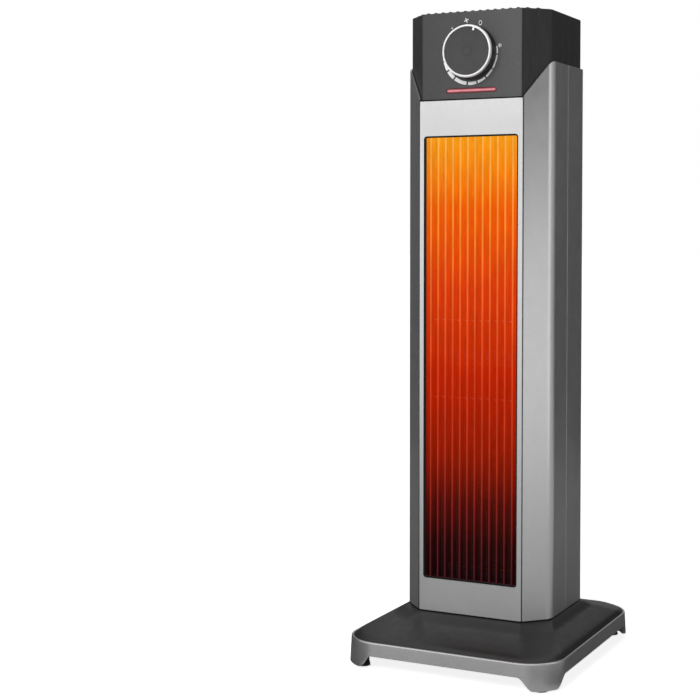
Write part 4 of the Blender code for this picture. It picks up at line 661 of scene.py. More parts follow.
# The painted glow by height: share of the way up, wall between the slats, nose of a slat
GLOW = (
    (0.0, "120102", "3c0a10"),
    (0.08, "220405", "4e0c10"),
    (0.17, "4a0a06", "7c1408"),
    (0.28, "8a1602", "a82a06"),
    (0.46, "b52000", "d2380e"),
    (0.66, "d43808", "ee6420"),
    (0.84, "ea5c02", "ff8f34"),
    (1.0, "f39818", "ffb447"),
)
WALL_GLOW, NOSE_GLOW = ([(share, colour(codes[k])) for share, *codes in GLOW] for k in (0, 1))


@dataclass(frozen=True)
class GlowingLouvre(Finish):
    """Black louvre with painted glow: emission in the heat's colours on its slats stands in for light from
    behind.
    """

    nose_y: float = -0.0561
    nose_depth: float = 1.6 * MM
    front_y: float = -0.0570
    half_width: float = 0.0456
    strength: float = 1.0

    def grow(self, mix: Recipe) -> None:
        """Painted glow by height, brighter on the noses, none on the rim, over a grained black.

        Args:
            mix: The material's graph.
        """
        height = mix.remap(mix.along("Z"), (GLOW_LOW_Z, GLOW_HIGH_Z))
        nose = (self.nose_y + self.nose_depth * 0.45, self.nose_y + self.nose_depth)
        deep = mix.remap(mix.along("Y"), nose)
        glow = mix.blend(deep, mix.ramp(height, NOSE_GLOW), mix.ramp(height, WALL_GLOW))
        flicker = mix.clouds(9 * MM, (0.82, 1.08), (1, 1, 0.3))
        across = mix.maths("ABSOLUTE", mix.along("X"))
        inside = mix.remap(across, (self.half_width - 0.4 * MM, self.half_width), (1.0, 0.0))
        rim = (self.front_y + 0.3 * MM, self.front_y + 0.7 * MM)
        behind = mix.remap(mix.along("Y"), rim)
        lit = mix.maths("MULTIPLY", mix.maths("MULTIPLY", inside, behind), flicker)
        # Painted glow: the slats give off the light that would fall on them from the heat behind.
        mix.give(Emission_Color=glow, Emission_Strength=mix.maths("MULTIPLY", lit, self.strength))
        mix.give(Base_Color=self.mottled(mix, 10 * MM, 0.2), Specular_IOR_Level=0.12)
        self.scuffed(mix, 5 * MM, 0.06)
        mix.grain(0.4 * MM, 0.01 * MM)


@dataclass(frozen=True)
class GlowingFin(Finish):
    """Aluminium fins with a painted glow by height, in the heat's colours."""

    strength: float = 1.0
    metallic: float = 0.3

    def grow(self, mix: Recipe) -> None:
        """Painted glow by height, broken by the fins' own scale and brighter and dimmer patches.

        Args:
            mix: The material's graph.
        """
        height = mix.remap(mix.along("Z"), (GLOW_LOW_Z, GLOW_HIGH_Z))
        spots = mix.clouds(6 * MM, (0.86, 1.08), (1, 1, 0.5), detail=4.0, between=(0.3, 0.75))
        # Painted glow: the parts give off the heat's colours though they are no lamp.
        mix.give(Emission_Color=mix.ramp(height, WALL_GLOW))
        mix.give(Emission_Strength=mix.maths("MULTIPLY", spots, self.strength))
        mix.give(Base_Color=self.mottled(mix, 4 * MM, 0.3))
        mix.give(Metallic=self.metallic, Specular_IOR_Level=0.12)
        self.scuffed(mix, 3 * MM, 0.1)
        mix.grain(0.8 * MM, 0.02 * MM)


@dataclass(frozen=True)
class SignalLens(Finish):
    """Lit red window, bright along its middle and dark at its rim."""

    centre_z: float = 0.5361
    half_height: float = 1.9 * MM
    half_length: float = 24.7 * MM
    strength: float = 0.75
    core: Colour = (0.66, 0.27, 0.31)
    rim: Colour = (0.085, 0.008, 0.013)

    def grow(self, mix: Recipe) -> None:
        """Light that fades to the rim, through clear red plastic with a fine ripple.

        Args:
            mix: The material's graph.
        """
        above = mix.maths("ABSOLUTE", mix.maths("SUBTRACT", mix.along("Z"), self.centre_z))
        level = self.half_length - self.half_height
        beside = mix.maths("SUBTRACT", mix.maths("ABSOLUTE", mix.along("X")), level)
        off = mix.maths("MAXIMUM", above, beside)
        share = mix.remap(off, (self.half_height * 0.22, self.half_height * 0.60))
        mix.give(Emission_Color=mix.blend(share, self.core, self.rim))
        ripple = mix.clouds(5 * MM, (0.85, 1.1))
        mix.give(Emission_Strength=mix.maths("MULTIPLY", ripple, self.strength))
        mix.give(Base_Color=self.mottled(mix, 4 * MM, 0.15))
        mix.give(Coat_Weight=0.6, Coat_Roughness=0.12)
        self.scuffed(mix, 3 * MM, 0.05)
        mix.grain(0.8 * MM, 0.004 * MM)


@dataclass(frozen=True)
class LampGlass(Finish):
    """Small neon lamp that glows through its glass."""

    def grow(self, mix: Recipe) -> None:
        """Warm light, uneven along the tube.

        Args:
            mix: The material's graph.
        """
        mix.give(Base_Color=self.mottled(mix, 3 * MM, 0.2), Coat_Weight=1.0)
        mix.give(Emission_Color=(1.0, 0.30, 0.12), Emission_Strength=mix.clouds(3 * MM, (0.6, 1.2)))
        self.scuffed(mix, 2 * MM, 0.04)


@dataclass(frozen=True)
class FloorBoard(Finish):
    """Pale sweep that reads as white and keeps the heater's shadow."""

    near_lift: float = 0.86
    far_lift: float = 1.0
    near: float = 0.25
    far: float = 0.90

    def grow(self, mix: Recipe) -> None:
        """Plain matt board, lifted to white only for what the camera, gloss and glass see.

        Args:
            mix: The material's graph.
        """
        mix.give(Base_Color=self.tone, Emission_Color=(1.0, 1.0, 1.0), Specular_IOR_Level=0.0)
        reach = mix.radius((0.0, 0.0, 0.0), (1, 1, 0))
        lift = mix.remap(reach, (self.near, self.far), (self.near_lift, self.far_lift))
        mix.give(Emission_Strength=mix.maths("MULTIPLY", mix.seen(), lift))
        self.scuffed(mix, 50 * MM, 0.02)


class Finishes:
    """All the heater's finishes, read from the photo."""

    tower = TowerLacquer("tower_silver_lacquer", (0.58, 0.58, 0.585), 0.31, metallic=0.88)
    skirt = MetallicPaint("skirt_silver_lacquer", (0.55, 0.55, 0.555), 0.31, metallic=0.88, sparkle=0.06)
    head = HeadPlastic("head_grained_charcoal", (0.028, 0.028, 0.0285), 0.5, grain=0.55 * MM, depth=0.03 * MM)
    plate = MouldedPlastic("base_satin_black", (0.012, 0.012, 0.0125), 0.42, grain=0.5 * MM, depth=0.012 * MM)
    black = MouldedPlastic("inner_black_plastic", (0.012, 0.012, 0.012), 0.5)
    louvre = GlowingLouvre("louvre_black_painted_glow", (0.010, 0.009, 0.009), 0.45)
    fins = GlowingFin("fin_aluminium_painted_glow", (0.030, 0.016, 0.010), 0.6)
    knob = KnobPlastic("knob_spun_face", (0.004, 0.004, 0.0045), 0.34)
    bezel = SatinWhite("bezel_satin_white", (0.92, 0.92, 0.92), 0.34)
    ink = PrintedInk("dial_white_ink", (0.92, 0.92, 0.92), 0.55)
    lens = SignalLens("indicator_lit_red", (0.20, 0.02, 0.025), 0.34)
    lamp = LampGlass("indicator_neon_glass", (0.90, 0.45, 0.30), 0.12)
    rubber = Rubber("foot_black_rubber", (0.012, 0.012, 0.012), 0.82)
    steel = BareMetal("screw_zinc_steel", (0.56, 0.56, 0.58), 0.34, (1.0, 1.0, 1.0), 0.8 * MM)
    motor = BareMetal("motor_zinc_plate", (0.50, 0.51, 0.52), 0.40, (1.0, 1.0, 0.08))
    bronze = BareMetal("bearing_sintered_bronze", (0.45, 0.28, 0.12), 0.45, (1.0, 1.0, 1.0))
    cutout = BareMetal("cutout_aluminium_can", (0.62, 0.62, 0.63), 0.36, (0.1, 1.0, 1.0))
    duct = MouldedPlastic("duct_grey_plastic", (0.13, 0.13, 0.135), 0.52, grain=0.8 * MM, depth=0.02 * MM)
    wheel = MouldedPlastic("wheel_grey_plastic", (0.19, 0.19, 0.20), 0.42)
    # The carrier takes the fins' painted glow, though it is resin and no lamp.
    carrier = GlowingFin("carrier_resin_painted_glow", (0.012, 0.010, 0.009), 0.7, metallic=0.0)
    cream = MouldedPlastic("switch_cream_resin", (0.60, 0.56, 0.46), 0.48, mottle=0.06, edge_wear_and_highlight_tone=1.15)
    sleeve = MouldedPlastic("lead_silicone_sleeve", (0.33, 0.02, 0.015), 0.5, grain=0.3 * MM)


# Mesh building


class Shape:
    """Mesh under construction, with the few moves that the pieces need."""

    def __init__(self) -> None:
        """Start with nothing."""
        self.mesh = bmesh.new()

    @classmethod
    def flat(cls, corners: Sequence[Corner], height: float = 0.0) -> "Shape":
        """Flat face with rounded corners.

        Args:
            corners: x, y, radius and steps of each corner.
            height: Height of the face.

        Returns:
            A shape of that one face.
        """
        shape = cls()
        verts = [shape.mesh.verts.new((x, y, height)) for x, y, _, _ in corners]
        shape.mesh.faces.new(verts)
        for k, (x, y, radius, steps) in enumerate(corners):
            if radius <= 0:
                continue
            before, after = corners[k - 1], corners[(k + 1) % len(corners)]
            here = Vector((x, y))
            turn = (here - Vector(before[:2])).angle(Vector(after[:2]) - here)
            shape.bevel([verts[k]], radius * math.tan(turn / 2), steps, Rounding.CORNERS)
        return shape

    @classmethod
    def plate(cls, low: Sequence[float], high: Sequence[float], radius: float, steps: int = 6) -> "Shape":
        """Flat rectangle with four equal corners."""
        (x0, y0), (x1, y1) = low, high
        return cls.flat([(x, y, radius, steps) for x, y in ((x0, y0), (x1, y0), (x1, y1), (x0, y1))])

    @classmethod
    def flared(cls, corners: Profile, radius: float, steps: int, deep: float, flare: float) -> "Shape":
        """Tool for a rounded opening, widened at its mouth to leave a chamfer.

        Args:
            corners: Two opposite corners of the opening.
            radius: Radius of its corners.
            steps: Steps of each corner.
            deep: Its depth below the surface.
            flare: Width of the chamfer.

        Returns:
            The tool, with its bottom at height zero.
        """
        start, end = (Vector((*corner, 0.0)) for corner in corners)
        middle, half = (start + end) / 2, (end - start) / 2
        tool = cls.plate(*corners, radius, steps).rise(deep - flare)
        mouth = max(tool.mesh.faces, key=lambda f: f.calc_center_median().z)
        verts = list(bmesh.ops.extrude_discrete_faces(tool.mesh, faces=[mouth])["faces"][0].verts)
        bmesh.ops.translate(tool.mesh, vec=(0, 0, 2 * flare), verts=verts)
        widen = (1 + 2 * flare / half.x, 1 + 2 * flare / half.y, 1)
        bmesh.ops.scale(tool.mesh, vec=widen, space=Matrix.Translation(-middle), verts=verts)
        return tool.healed()

    @classmethod
    def block(cls, low: Sequence[float], high: Sequence[float], edge: float = 0.0, steps: int = 2) -> "Shape":
        """Box between two corners with its edges rounded.

        Args:
            low: Lowest corner.
            high: Highest corner.
            edge: Width of the rounding, or zero.
            steps: Its steps.

        Returns:
            The box.
        """
        shape = cls()
        bmesh.ops.create_cube(shape.mesh, size=1.0)
        low_point, high_point = Vector(low), Vector(high)
        bmesh.ops.scale(shape.mesh, vec=high_point - low_point, verts=shape.mesh.verts)
        bmesh.ops.translate(shape.mesh, vec=(low_point + high_point) / 2, verts=shape.mesh.verts)
        if edge:
            shape.soften(lambda a, b: True, edge, steps)
        return shape

    @classmethod
    def turned(cls, profile: Profile, steps: int, closed: bool = False) -> "Shape":
        """Profile spun about the upright axis.

        Args:
            profile: Radius and height of each point, in millimetres.
            steps: Steps of the full turn.
            closed: Join the last point to the first.

        Returns:
            The turned shape.
        """
        shape = cls()
        row = [shape.mesh.verts.new((radius * MM, 0, height * MM)) for radius, height in profile]
        pairs = list(zip(row, row[1:])) + ([(row[-1], row[0])] if closed else [])
        edges = [shape.mesh.edges.new(pair) for pair in pairs]
        bmesh.ops.spin(
            shape.mesh,
            geom=row + edges,
            cent=(0, 0, 0),
            axis=(0, 0, 1),
            angle=2 * math.pi,
            steps=steps,
            use_merge=True,
        )
        return shape.healed()

    def healed(self) -> "Shape":
        """Close seams and poles and point the faces outwards.

        Returns:
            The shape itself.
        """
        bmesh.ops.remove_doubles(self.mesh, verts=self.mesh.verts, dist=0.002 * MM)
        bmesh.ops.recalc_face_normals(self.mesh, faces=self.mesh.faces)
        return self

    def rise(self, height: float) -> "Shape":
        """Pull a flat face up into a solid.

        Args:
            height: Height of the solid.

        Returns:
            The shape itself.
        """
        grown = bmesh.ops.extrude_face_region(self.mesh, geom=self.mesh.faces[:])
        top = [v for v in grown["geom"] if isinstance(v, bmesh.types.BMVert)]
        bmesh.ops.translate(self.mesh, vec=(0, 0, height), verts=top)
        return self.healed()

    def edges(self, test: EdgeTest) -> list[Edge]:
        """Edges whose two ends pass a test."""
        return [e for e in self.mesh.edges if test(e.verts[0].co, e.verts[1].co)]

    def soften(self, test: EdgeTest, width: float, steps: int = 3) -> "Shape":
        """Round the edges that pass a test."""
        return self.bevel(self.edges(test), width, steps, Rounding.EDGES)

    def bevel(self, parts: Parts, width: float, steps: int, kind: Rounding) -> "Shape":
        """Round corners or edges.

        Args:
            parts: The corners or edges.
            width: How far back the rounding starts.
            steps: Its steps.
            kind: Corners of a flat face, or edges.

        Returns:
            The shape itself.
        """
        bmesh.ops.bevel(
            self.mesh,
            geom=parts,
            offset=width,
            offset_type="OFFSET",
            segments=steps,
            profile=0.5,
            affect=kind.value,
            material=-1,
            clamp_overlap=kind is Rounding.EDGES,
        )
        return self

    def split(self, test: EdgeTest, longest: float) -> "Shape":
        """Cut the long edges that pass a test into even lengths.

        Args:
            test: Which edges.
            longest: Largest length that stays whole.

        Returns:
            The shape itself.
        """
        for edge in self.edges(test):
            cuts = int(edge.calc_length() / longest)
            if cuts:
                bmesh.ops.subdivide_edges(self.mesh, edges=[edge], cuts=cuts)
        return self

    def rim_only(self) -> "Shape":
        """Drop the faces and keep their edges."""
        bmesh.ops.delete(self.mesh, geom=self.mesh.faces[:], context="FACES_ONLY")
        return self

    def drop_edges(self, test: EdgeTest) -> "Shape":
        """Take out the edges that pass a test."""
        bmesh.ops.delete(self.mesh, geom=self.edges(test), context="EDGES")
        return self

    def curtain(self, rows: int, closed: bool = False) -> "Shape":
        """Draw a ring of edges up into a band, one metre of height for each row.

        Args:
            rows: Rows of the band.
            closed: Join the last row back to the first.

        Returns:
            The shape itself, ready to be bent.
        """
        first = ring = self.mesh.edges[:]
        for _ in range(rows):
            ring = self.pull(ring, (0, 0, 1))
        if closed:
            bmesh.ops.bridge_loops(self.mesh, edges=first + ring)
        return self

    def pull(self, edges: list[Edge], step: Sequence[float]) -> list[Edge]:
        """Draw edges out into faces.

        Args:
            edges: The edges.
            step: How far and which way.

        Returns:
            The edges at the far side.
        """
        grown = bmesh.ops.extrude_edge_only(self.mesh, edges=edges)["geom"]
        verts = [v for v in grown if isinstance(v, bmesh.types.BMVert)]
        bmesh.ops.translate(self.mesh, vec=step, verts=verts)
        return [e for e in grown if isinstance(e, Edge)]

    def bend(self, place: Callable[[Vector], Vector]) -> "Shape":
        """Give every point the place that a rule finds for it.

        Args:
            place: The rule.

        Returns:
            The shape itself.
        """
        for vert in self.mesh.verts:
            vert.co = place(vert.co)
        return self

    def transform(self, matrix: Matrix) -> "Shape":
        """Move, turn or scale everything."""
        bmesh.ops.transform(self.mesh, matrix=matrix, verts=self.mesh.verts)
        return self

    def moved(self, x: float = 0.0, y: float = 0.0, z: float = 0.0) -> "Shape":
        """Shift everything."""
        return self.transform(Matrix.Translation((x, y, z)))

    def turn(self, degrees: float, axis: str = "Z") -> "Shape":
        """Turn everything about an axis through the origin."""
        return self.transform(Matrix.Rotation(math.radians(degrees), 4, axis))

    def upright(self, side: Side) -> "Shape":
        """Stand a flat drawing up: its y becomes height and its height points out of that side."""
        self.turn(90, "X")
        return self if side is Side.FRONT else self.turn(180)

    def copy(self) -> "Shape":
        """A second shape just like this one.

        Returns:
            The copy.
        """
        other = Shape()
        other.mesh = self.mesh.copy()
        return other

    def add(self, other: "Shape") -> "Shape":
        """Take another shape into this one.

        Args:
            other: The other shape.

        Returns:
            The shape itself.
        """
        draft = bpy.data.meshes.new("draft")
        other.mesh.to_mesh(draft)
        self.mesh.from_mesh(draft)
        bpy.data.meshes.remove(draft)
        return self

    def as_object(self, name: str) -> bpy.types.Object:
        """Put the shape into the scene as an object.

        Args:
            name: Name of the object and its mesh.

        Returns:
            The object.
        """
        mesh = bpy.data.meshes.new(name)
        self.mesh.to_mesh(mesh)
        made = bpy.data.objects.new(name, mesh)
        bpy.context.scene.collection.objects.link(made)
        return made

    def through(self, kind: str, **settings: object) -> "Shape":
        """Pass the mesh through one of Blender's modifiers.

        Args:
            kind: The modifier's type.
            settings: Its settings.

        Returns:
            The shape itself, changed.
        """
        draft = self.as_object("draft")
        modifier = draft.modifiers.new("step", kind)
        for name, value in settings.items():
            setattr(modifier, name, value)
        graph = bpy.context.evaluated_depsgraph_get()
        result = bpy.data.meshes.new_from_object(draft.evaluated_get(graph))
        self.mesh.clear()
        self.mesh.from_mesh(result)
        bpy.data.meshes.remove(draft.data)
        bpy.data.meshes.remove(result)
        return self

    def ease_edges(self, width: float, degrees: float) -> "Shape":
        """Round every edge that is sharper than an angle."""
        limit = math.radians(degrees)
        return self.through("BEVEL", width=width, segments=3, limit_method="ANGLE", angle_limit=limit)

    def shell(self, thickness: float) -> "Shape":
        """Give an open surface a wall inwards."""
        return self.through("SOLIDIFY", thickness=thickness, offset=-1, use_even_offset=True)

    def cut(self, tool: "Shape") -> "Shape":
        """Take a tool's volume out of the solid.

        Args:
            tool: The tool.

        Returns:
            The shape itself.
        """
        blade = tool.as_object("tool")
        self.through("BOOLEAN", object=blade, operation="DIFFERENCE", solver="EXACT")
        bpy.data.meshes.remove(blade.data)
        return self


@dataclass
class Piece:
    """One visible piece, with its finish and the CAD body and nodes that it stands for."""

    name: str
    shape: Shape
    finish: Finish
    slot: str
    replaces: tuple[str, ...] = ()
    body: Body = Body.HEATER
    crease: float = math.radians(32)

    def make(self) -> bpy.types.Object:
        """Make the object, level its faces and hand it to its body.

        Returns:
            The finished object.
        """
        for face in self.shape.mesh.faces:
            face.smooth = True
        for edge in self.shape.mesh.edges:
            sharp = len(edge.link_faces) == 2 and edge.calc_face_angle(0.0) > self.crease
            edge.smooth = not sharp
        piece = self.shape.as_object(self.name)
        self.shape.mesh.free()
        piece.data.materials.append(self.finish.material())
        piece.modifiers.new("level_faces", "WEIGHTED_NORMAL").keep_sharp = True
        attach(piece, self.body.value)
        if self.replaces:
            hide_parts(*self.replaces)
        return piece


class Assembly:
    """A group of pieces that are built and dressed together."""

    title = "assembly"

    def pieces(self) -> Iterator[Piece]:
        """The group's new pieces, in order."""
        yield from ()

    def kept(self) -> dict[str, Finish]:
        """Finish of each CAD node that stays."""
        return {}

    def build(self) -> None:
        """Make every piece, dress every kept node and report them."""
        for piece in self.pieces():
            made = piece.make()
            LOG.info("%s: %s, %d faces", self.title, made.name, len(made.data.polygons))
        for name, finish in self.kept().items():
            node = frame["nodes"][name]
            for place in node.material_slots:
                place.material = finish.material()
            LOG.info("%s: %s dressed", self.title, name)


# Sub-assemblies


@dataclass(frozen=True)
class TowerPlan:
    """Plan and heights that the tower's pieces share."""

    half_width: float = 0.0732
    half_depth: float = 0.0585
    chamfer_width: float = 0.0220
    chamfer_depth: float = 0.0226
    side_radius: float = 0.0150
    front_radius: float = 0.0012
    rear_radius: float = 0.0132
    wall: float = 0.0015
    bottom: float = 0.0463
    front_top: float = 0.5272
    ear_top: float = 0.5614
    ear_run: float = 0.0295
    ear_radius: float = 0.0140
    seam_y: float = 0.0040
    head_top: float = 0.6090
    reveal: float = 0.0014

    def corners(self, side_inset: float = 0.0, front_inset: float = 0.0) -> tuple[Vector, Vector]:
        """Ends of the right-hand chamfer, set in from the outside.

        Args:
            side_inset: How far the sides and chamfer are set in.
            front_inset: How far the front is set in.

        Returns:
            The front corner and the side corner.
        """
        front = Vector((self.half_width - self.chamfer_width, -self.half_depth))
        side = Vector((self.half_width, -self.half_depth + self.chamfer_depth))
        along = (side - front).normalized()
        normal = Vector((along.y, -along.x))
        level = normal.dot(front) - side_inset
        front_y = -self.half_depth + front_inset
        side_x = self.half_width - side_inset
        front_x = (level - normal.y * front_y) / normal.x
        side_y = (level - normal.x * side_x) / normal.y
        return Vector((front_x, front_y)), Vector((side_x, side_y))

    def ear_height(self, y: float) -> float:
        """Height of the front housing's top edge at a depth.

        Args:
            y: The depth.

        Returns:
            The height.
        """
        rise = self.ear_top - self.front_top
        front, side = self.corners()
        share = (y - front.y) / (side.y - front.y)
        reach = min(share, 1.0) * (side - front).length + max(y - side.y, 0.0)
        slope = math.atan2(rise, self.ear_run)
        tangent = self.ear_radius * math.tan(slope / 2)
        level_from = self.ear_run + tangent
        if reach <= self.ear_run - tangent * math.cos(slope):
            return self.front_top + rise * reach / self.ear_run
        if reach < level_from:
            drop = self.ear_radius - math.sqrt(self.ear_radius**2 - (level_from - reach) ** 2)
            return self.ear_top - drop
        return self.ear_top


@dataclass
class Base(Assembly):
    """Silver skirt, dark top plate, pads and the screws that hold the tower."""

    title = "base"
    plan: TowerPlan = TowerPlan()
    half_width: float = 0.1052
    half_depth: float = 0.1222
    radius: float = 0.0368
    skirt_thickness: float = 0.0024
    flare: float = 0.00118
    skirt_top: float = 0.0268
    skirt_bottom: float = 0.0141
    foot_bottom: float = 0.0024
    foot_flat: float = 0.0115
    foot_run: float = 0.0140
    plate_low: float = 0.0150
    plate_edge: float = 0.0246
    plate_top: float = 0.0426
    plate_roll: float = 0.0032
    roll_share: float = 0.12
    foot_rise: float = 0.0025
    plate_wall: float = 0.0024
    pad_radius: float = 0.0058
    pad_brim: float = 0.0005
    pad_x: float = 0.08735
    pad_y: float = 0.10435
    core_back: float = 0.0024
    screw_x: float = 0.0420
    screw_y: float = 0.0340
    cable_hole: float = 0.0060

    @property
    def core_size(self) -> tuple[float, float]:
        """Half width and half depth of the rectangle of corner centres."""
        return self.half_width - self.radius, self.half_depth - self.radius

    def core(self, point: Vector) -> tuple[Vector, Vector]:
        """Nearest place on the rectangle of corner centres, and the way out from it.

        Args:
            point: A point of the base's outline.

        Returns:
            The place and the way out.
        """
        core_x, core_y = self.core_size
        middle = Vector((min(max(point.x, -core_x), core_x), min(max(point.y, -core_y), core_y)))
        return middle, (point.xy - middle).normalized()

    def foot_edge(self, point: Vector) -> float:
        """Height of the skirt's lower edge at a place round the base.

        Args:
            point: A point of the base's outline.

        Returns:
            The height.
        """
        middle, out = self.core(point)
        core_x, core_y = self.core_size
        angle = math.atan2(abs(out.y), abs(out.x))
        straight = core_x - abs(middle.x) if abs(out.y) > 0.5 else core_y - abs(middle.y)
        reach = abs(angle - math.pi / 4) * self.radius + max(straight, 0.0)
        rise = ease((reach - self.foot_flat) / self.foot_run)
        return self.foot_bottom + (self.skirt_bottom - self.foot_bottom) * rise

    def outline(self, inset: float, steps: int, longest: float) -> Shape:
        """Rounded outline of the base as a ring of edges.

        Args:
            inset: How far it is set in.
            steps: Steps of each corner.
            longest: Longest stretch of a side.

        Returns:
            A shape that holds the ring alone.
        """
        wide, deep = self.half_width - inset, self.half_depth - inset
        ring = Shape.plate((-wide, -deep), (wide, deep), self.radius - inset, steps)
        return ring.rim_only().split(lambda a, b: True, longest)

    def skirt_section(self) -> list[tuple[float, float, float, float]]:
        """Section of the skirt from its outer foot over the lip to its inner foot.

        Returns:
            For each point its offset, its share of the flare, its share of the way from the
            lower edge up to the lip, and a height to add.
        """
        half = self.skirt_thickness / 2
        edge = 0.35 * MM
        section = [(-edge, 1.0, 0.0, 0.0), (-edge * 0.3, 1.0, 0.0, edge * 0.3), (0.0, 1.0, 0.0, edge)]
        section += [(0.0, 1 - k / 4, k / 4, 0.0) for k in range(1, 5)]
        for k in range(1, 9):
            turn = math.pi * k / 8
            section.append((-half + half * math.cos(turn), 0.0, 1.0, half * math.sin(turn)))
        inner = -self.skirt_thickness
        foot = ((0, 1), (0.3, 0.3), (1, 0))
        return section + [(inner + edge * reach, 0.0, 0.0, edge * rise) for reach, rise in foot]

    def skirt(self) -> Shape:
        """Skirt with a rolled lip and a lower edge that drops in an S-curve to each foot.

        Returns:
            The shape.
        """
        section = self.skirt_section()
        lip_z = self.skirt_top - self.skirt_thickness / 2

        def place(point: Vector) -> Vector:
            """Place of a point whose height is its row of the section.

            Args:
                point: A point of the raw band.

            Returns:
                Its place.
            """
            offset, flared, share, extra = section[round(point.z)]
            middle, out = self.core(point)
            low = self.foot_edge(point)
            lean = self.flare * flared * (lip_z - low) / (lip_z - self.foot_bottom)
            spot = middle + out * (self.radius + offset + lean)
            return Vector((spot.x, spot.y, low + (lip_z - low) * share + extra))

        ring = self.outline(0.0, 40, 3.5 * MM)
        return ring.curtain(len(section) - 1, closed=True).bend(place).healed()

    def plate_height(self, share: float) -> float:
        """Height of the plate's top between its edge and the tower.

        Args:
            share: Share of the way from the edge to the tower.

        Returns:
            The height.
        """
        rolled = 1 - (1 - min(share / self.roll_share, 1.0)) ** 2
        slope = self.plate_top - self.plate_edge - self.plate_roll
        return self.plate_edge + self.plate_roll * rolled + slope * share**0.9

    def tower_point(self, point: Vector) -> Vector:
        """Place on the tower's foot that answers to a place on the base's edge.

        Args:
            point: A point of the base's outline.

        Returns:
            The place.
        """
        plan = self.plan
        front, side = plan.corners()
        core_x, core_y = self.core_size
        middle, out = self.core(point)
        sign_x = 1 if point.x > 0 else -1
        rear_x, rear_y = plan.half_width - plan.rear_radius, plan.half_depth - plan.rear_radius
        if abs(middle.x) < core_x - MM / 100:
            level = rear_x if point.y > 0 else front.x
            return Vector((middle.x / core_x * level, math.copysign(plan.half_depth, point.y)))
        if abs(middle.y) < core_y - MM / 100:
            share = (middle.y + core_y) / (2 * core_y)
            return Vector((sign_x * plan.half_width, side.y + (rear_y - side.y) * share))
        angle = math.atan2(abs(out.y), abs(out.x))
        if point.y > 0:
            arc = Vector((math.cos(angle), math.sin(angle))) * plan.rear_radius
            return Vector((sign_x * (rear_x + arc.x), rear_y + arc.y))
        spot = side.lerp(front, angle / (math.pi / 2))
        return Vector((sign_x * spot.x, spot.y))

    def plate(self) -> Shape:
        """Domed plate from its hidden wall to the tower's foot and in to the cable hole.

        Returns:
            The shape.
        """
        walls = [self.plate_low, self.plate_edge - 0.8 * MM]
        shares = [0, 0.006, 0.015, 0.03, 0.05, 0.08, 0.12, 0.2, 0.3, 0.4, 0.5, 0.6, 0.7, 0.8, 0.9, 1.0]

        def place(point: Vector) -> Vector:
            """Place of a point whose height is its row of walls and shares.

            Args:
                point: A point of the raw band.

            Returns:
                Its place.
            """
            row = round(point.z)
            if row < len(walls):
                return Vector((point.x, point.y, walls[row]))
            if row == len(walls) + len(shares):
                hole = point.xy.normalized() * self.cable_hole
                return Vector((hole.x, hole.y, self.plate_top))
            share = shares[row - len(walls)]
            spot = point.xy.lerp(self.tower_point(point), share)
            return Vector((spot.x, spot.y, self.plate_height(share)))

        ring = self.outline(self.skirt_thickness + GAP, 28, 5 * MM)
        shape = ring.curtain(len(walls) + len(shares)).bend(place).healed()
        top = max(shape.mesh.faces, key=lambda f: f.calc_center_median().z)
        if top.normal.z < 0:
            bmesh.ops.reverse_faces(shape.mesh, faces=shape.mesh.faces)
        shape.shell(self.plate_wall)
        shape.add(self.collar())
        back = self.core_back / math.sqrt(2)
        for sx, sy in CORNERS.values():
            shape.add(self.leg().moved(sx * self.pad_x, sy * self.pad_y))
            shape.add(self.leg_core().moved(sx * (self.pad_x - back), sy * (self.pad_y - back)))
            shape.add(self.boss().moved(sx * self.screw_x, sy * self.screw_y))
        return shape

    def collar(self) -> Shape:
        """Slope that lifts the plate up to the tower's lower edge.

        Returns:
            The shape.
        """
        section = [(k / 20, self.foot_rise * ease((k - 14) / 6)) for k in range(14, 21)]
        section += [(1.008, self.foot_rise), (1.008, 0.0), (1.0, -MM), (0.7, -MM)]

        def place(point: Vector) -> Vector:
            """Place of a point whose height is its row of the section.

            Args:
                point: A point of the raw band.

            Returns:
                Its place.
            """
            share, extra = section[round(point.z)]
            spot = point.xy.lerp(self.tower_point(point), share)
            return Vector((spot.x, spot.y, self.plate_height(min(share, 1.0)) + extra))

        ring = self.outline(self.skirt_thickness + GAP, 28, 5 * MM)
        return ring.curtain(len(section) - 1, closed=True).bend(place).healed()

    def leg(self) -> Shape:
        """Leg over a pad, with a bore for the pad's stem.

        Returns:
            The shape.
        """
        high, outer = (self.plate_edge - GAP) / MM, (self.pad_radius - GAP) / MM
        profile = [(0, 10.3), (3.3, 10.3), (3.3, 4.3), (outer - 0.4, 4.3), (outer, 4.7), (outer, high - 0.3)]
        return Shape.turned(profile + [(outer - 0.3, high), (0, high)], 48)

    def leg_core(self) -> Shape:
        """Core that carries a leg up to the plate's underside."""
        high = (self.plate_height(self.roll_share) - self.plate_wall / 2) / MM
        return Shape.turned([(0, 11), (4, 11), (4, high), (0, high)], 32)

    def boss(self) -> Shape:
        """Tube for the screw that comes up from below.

        Returns:
            The shape.
        """
        high = (self.plate_top - self.plate_wall / 2) / MM
        profile = [(1.8, 29.4), (2.2, 29), (4.8, 29), (5.2, 29.4), (5.2, high), (1.8, high)]
        return Shape.turned(profile, 40, closed=True)

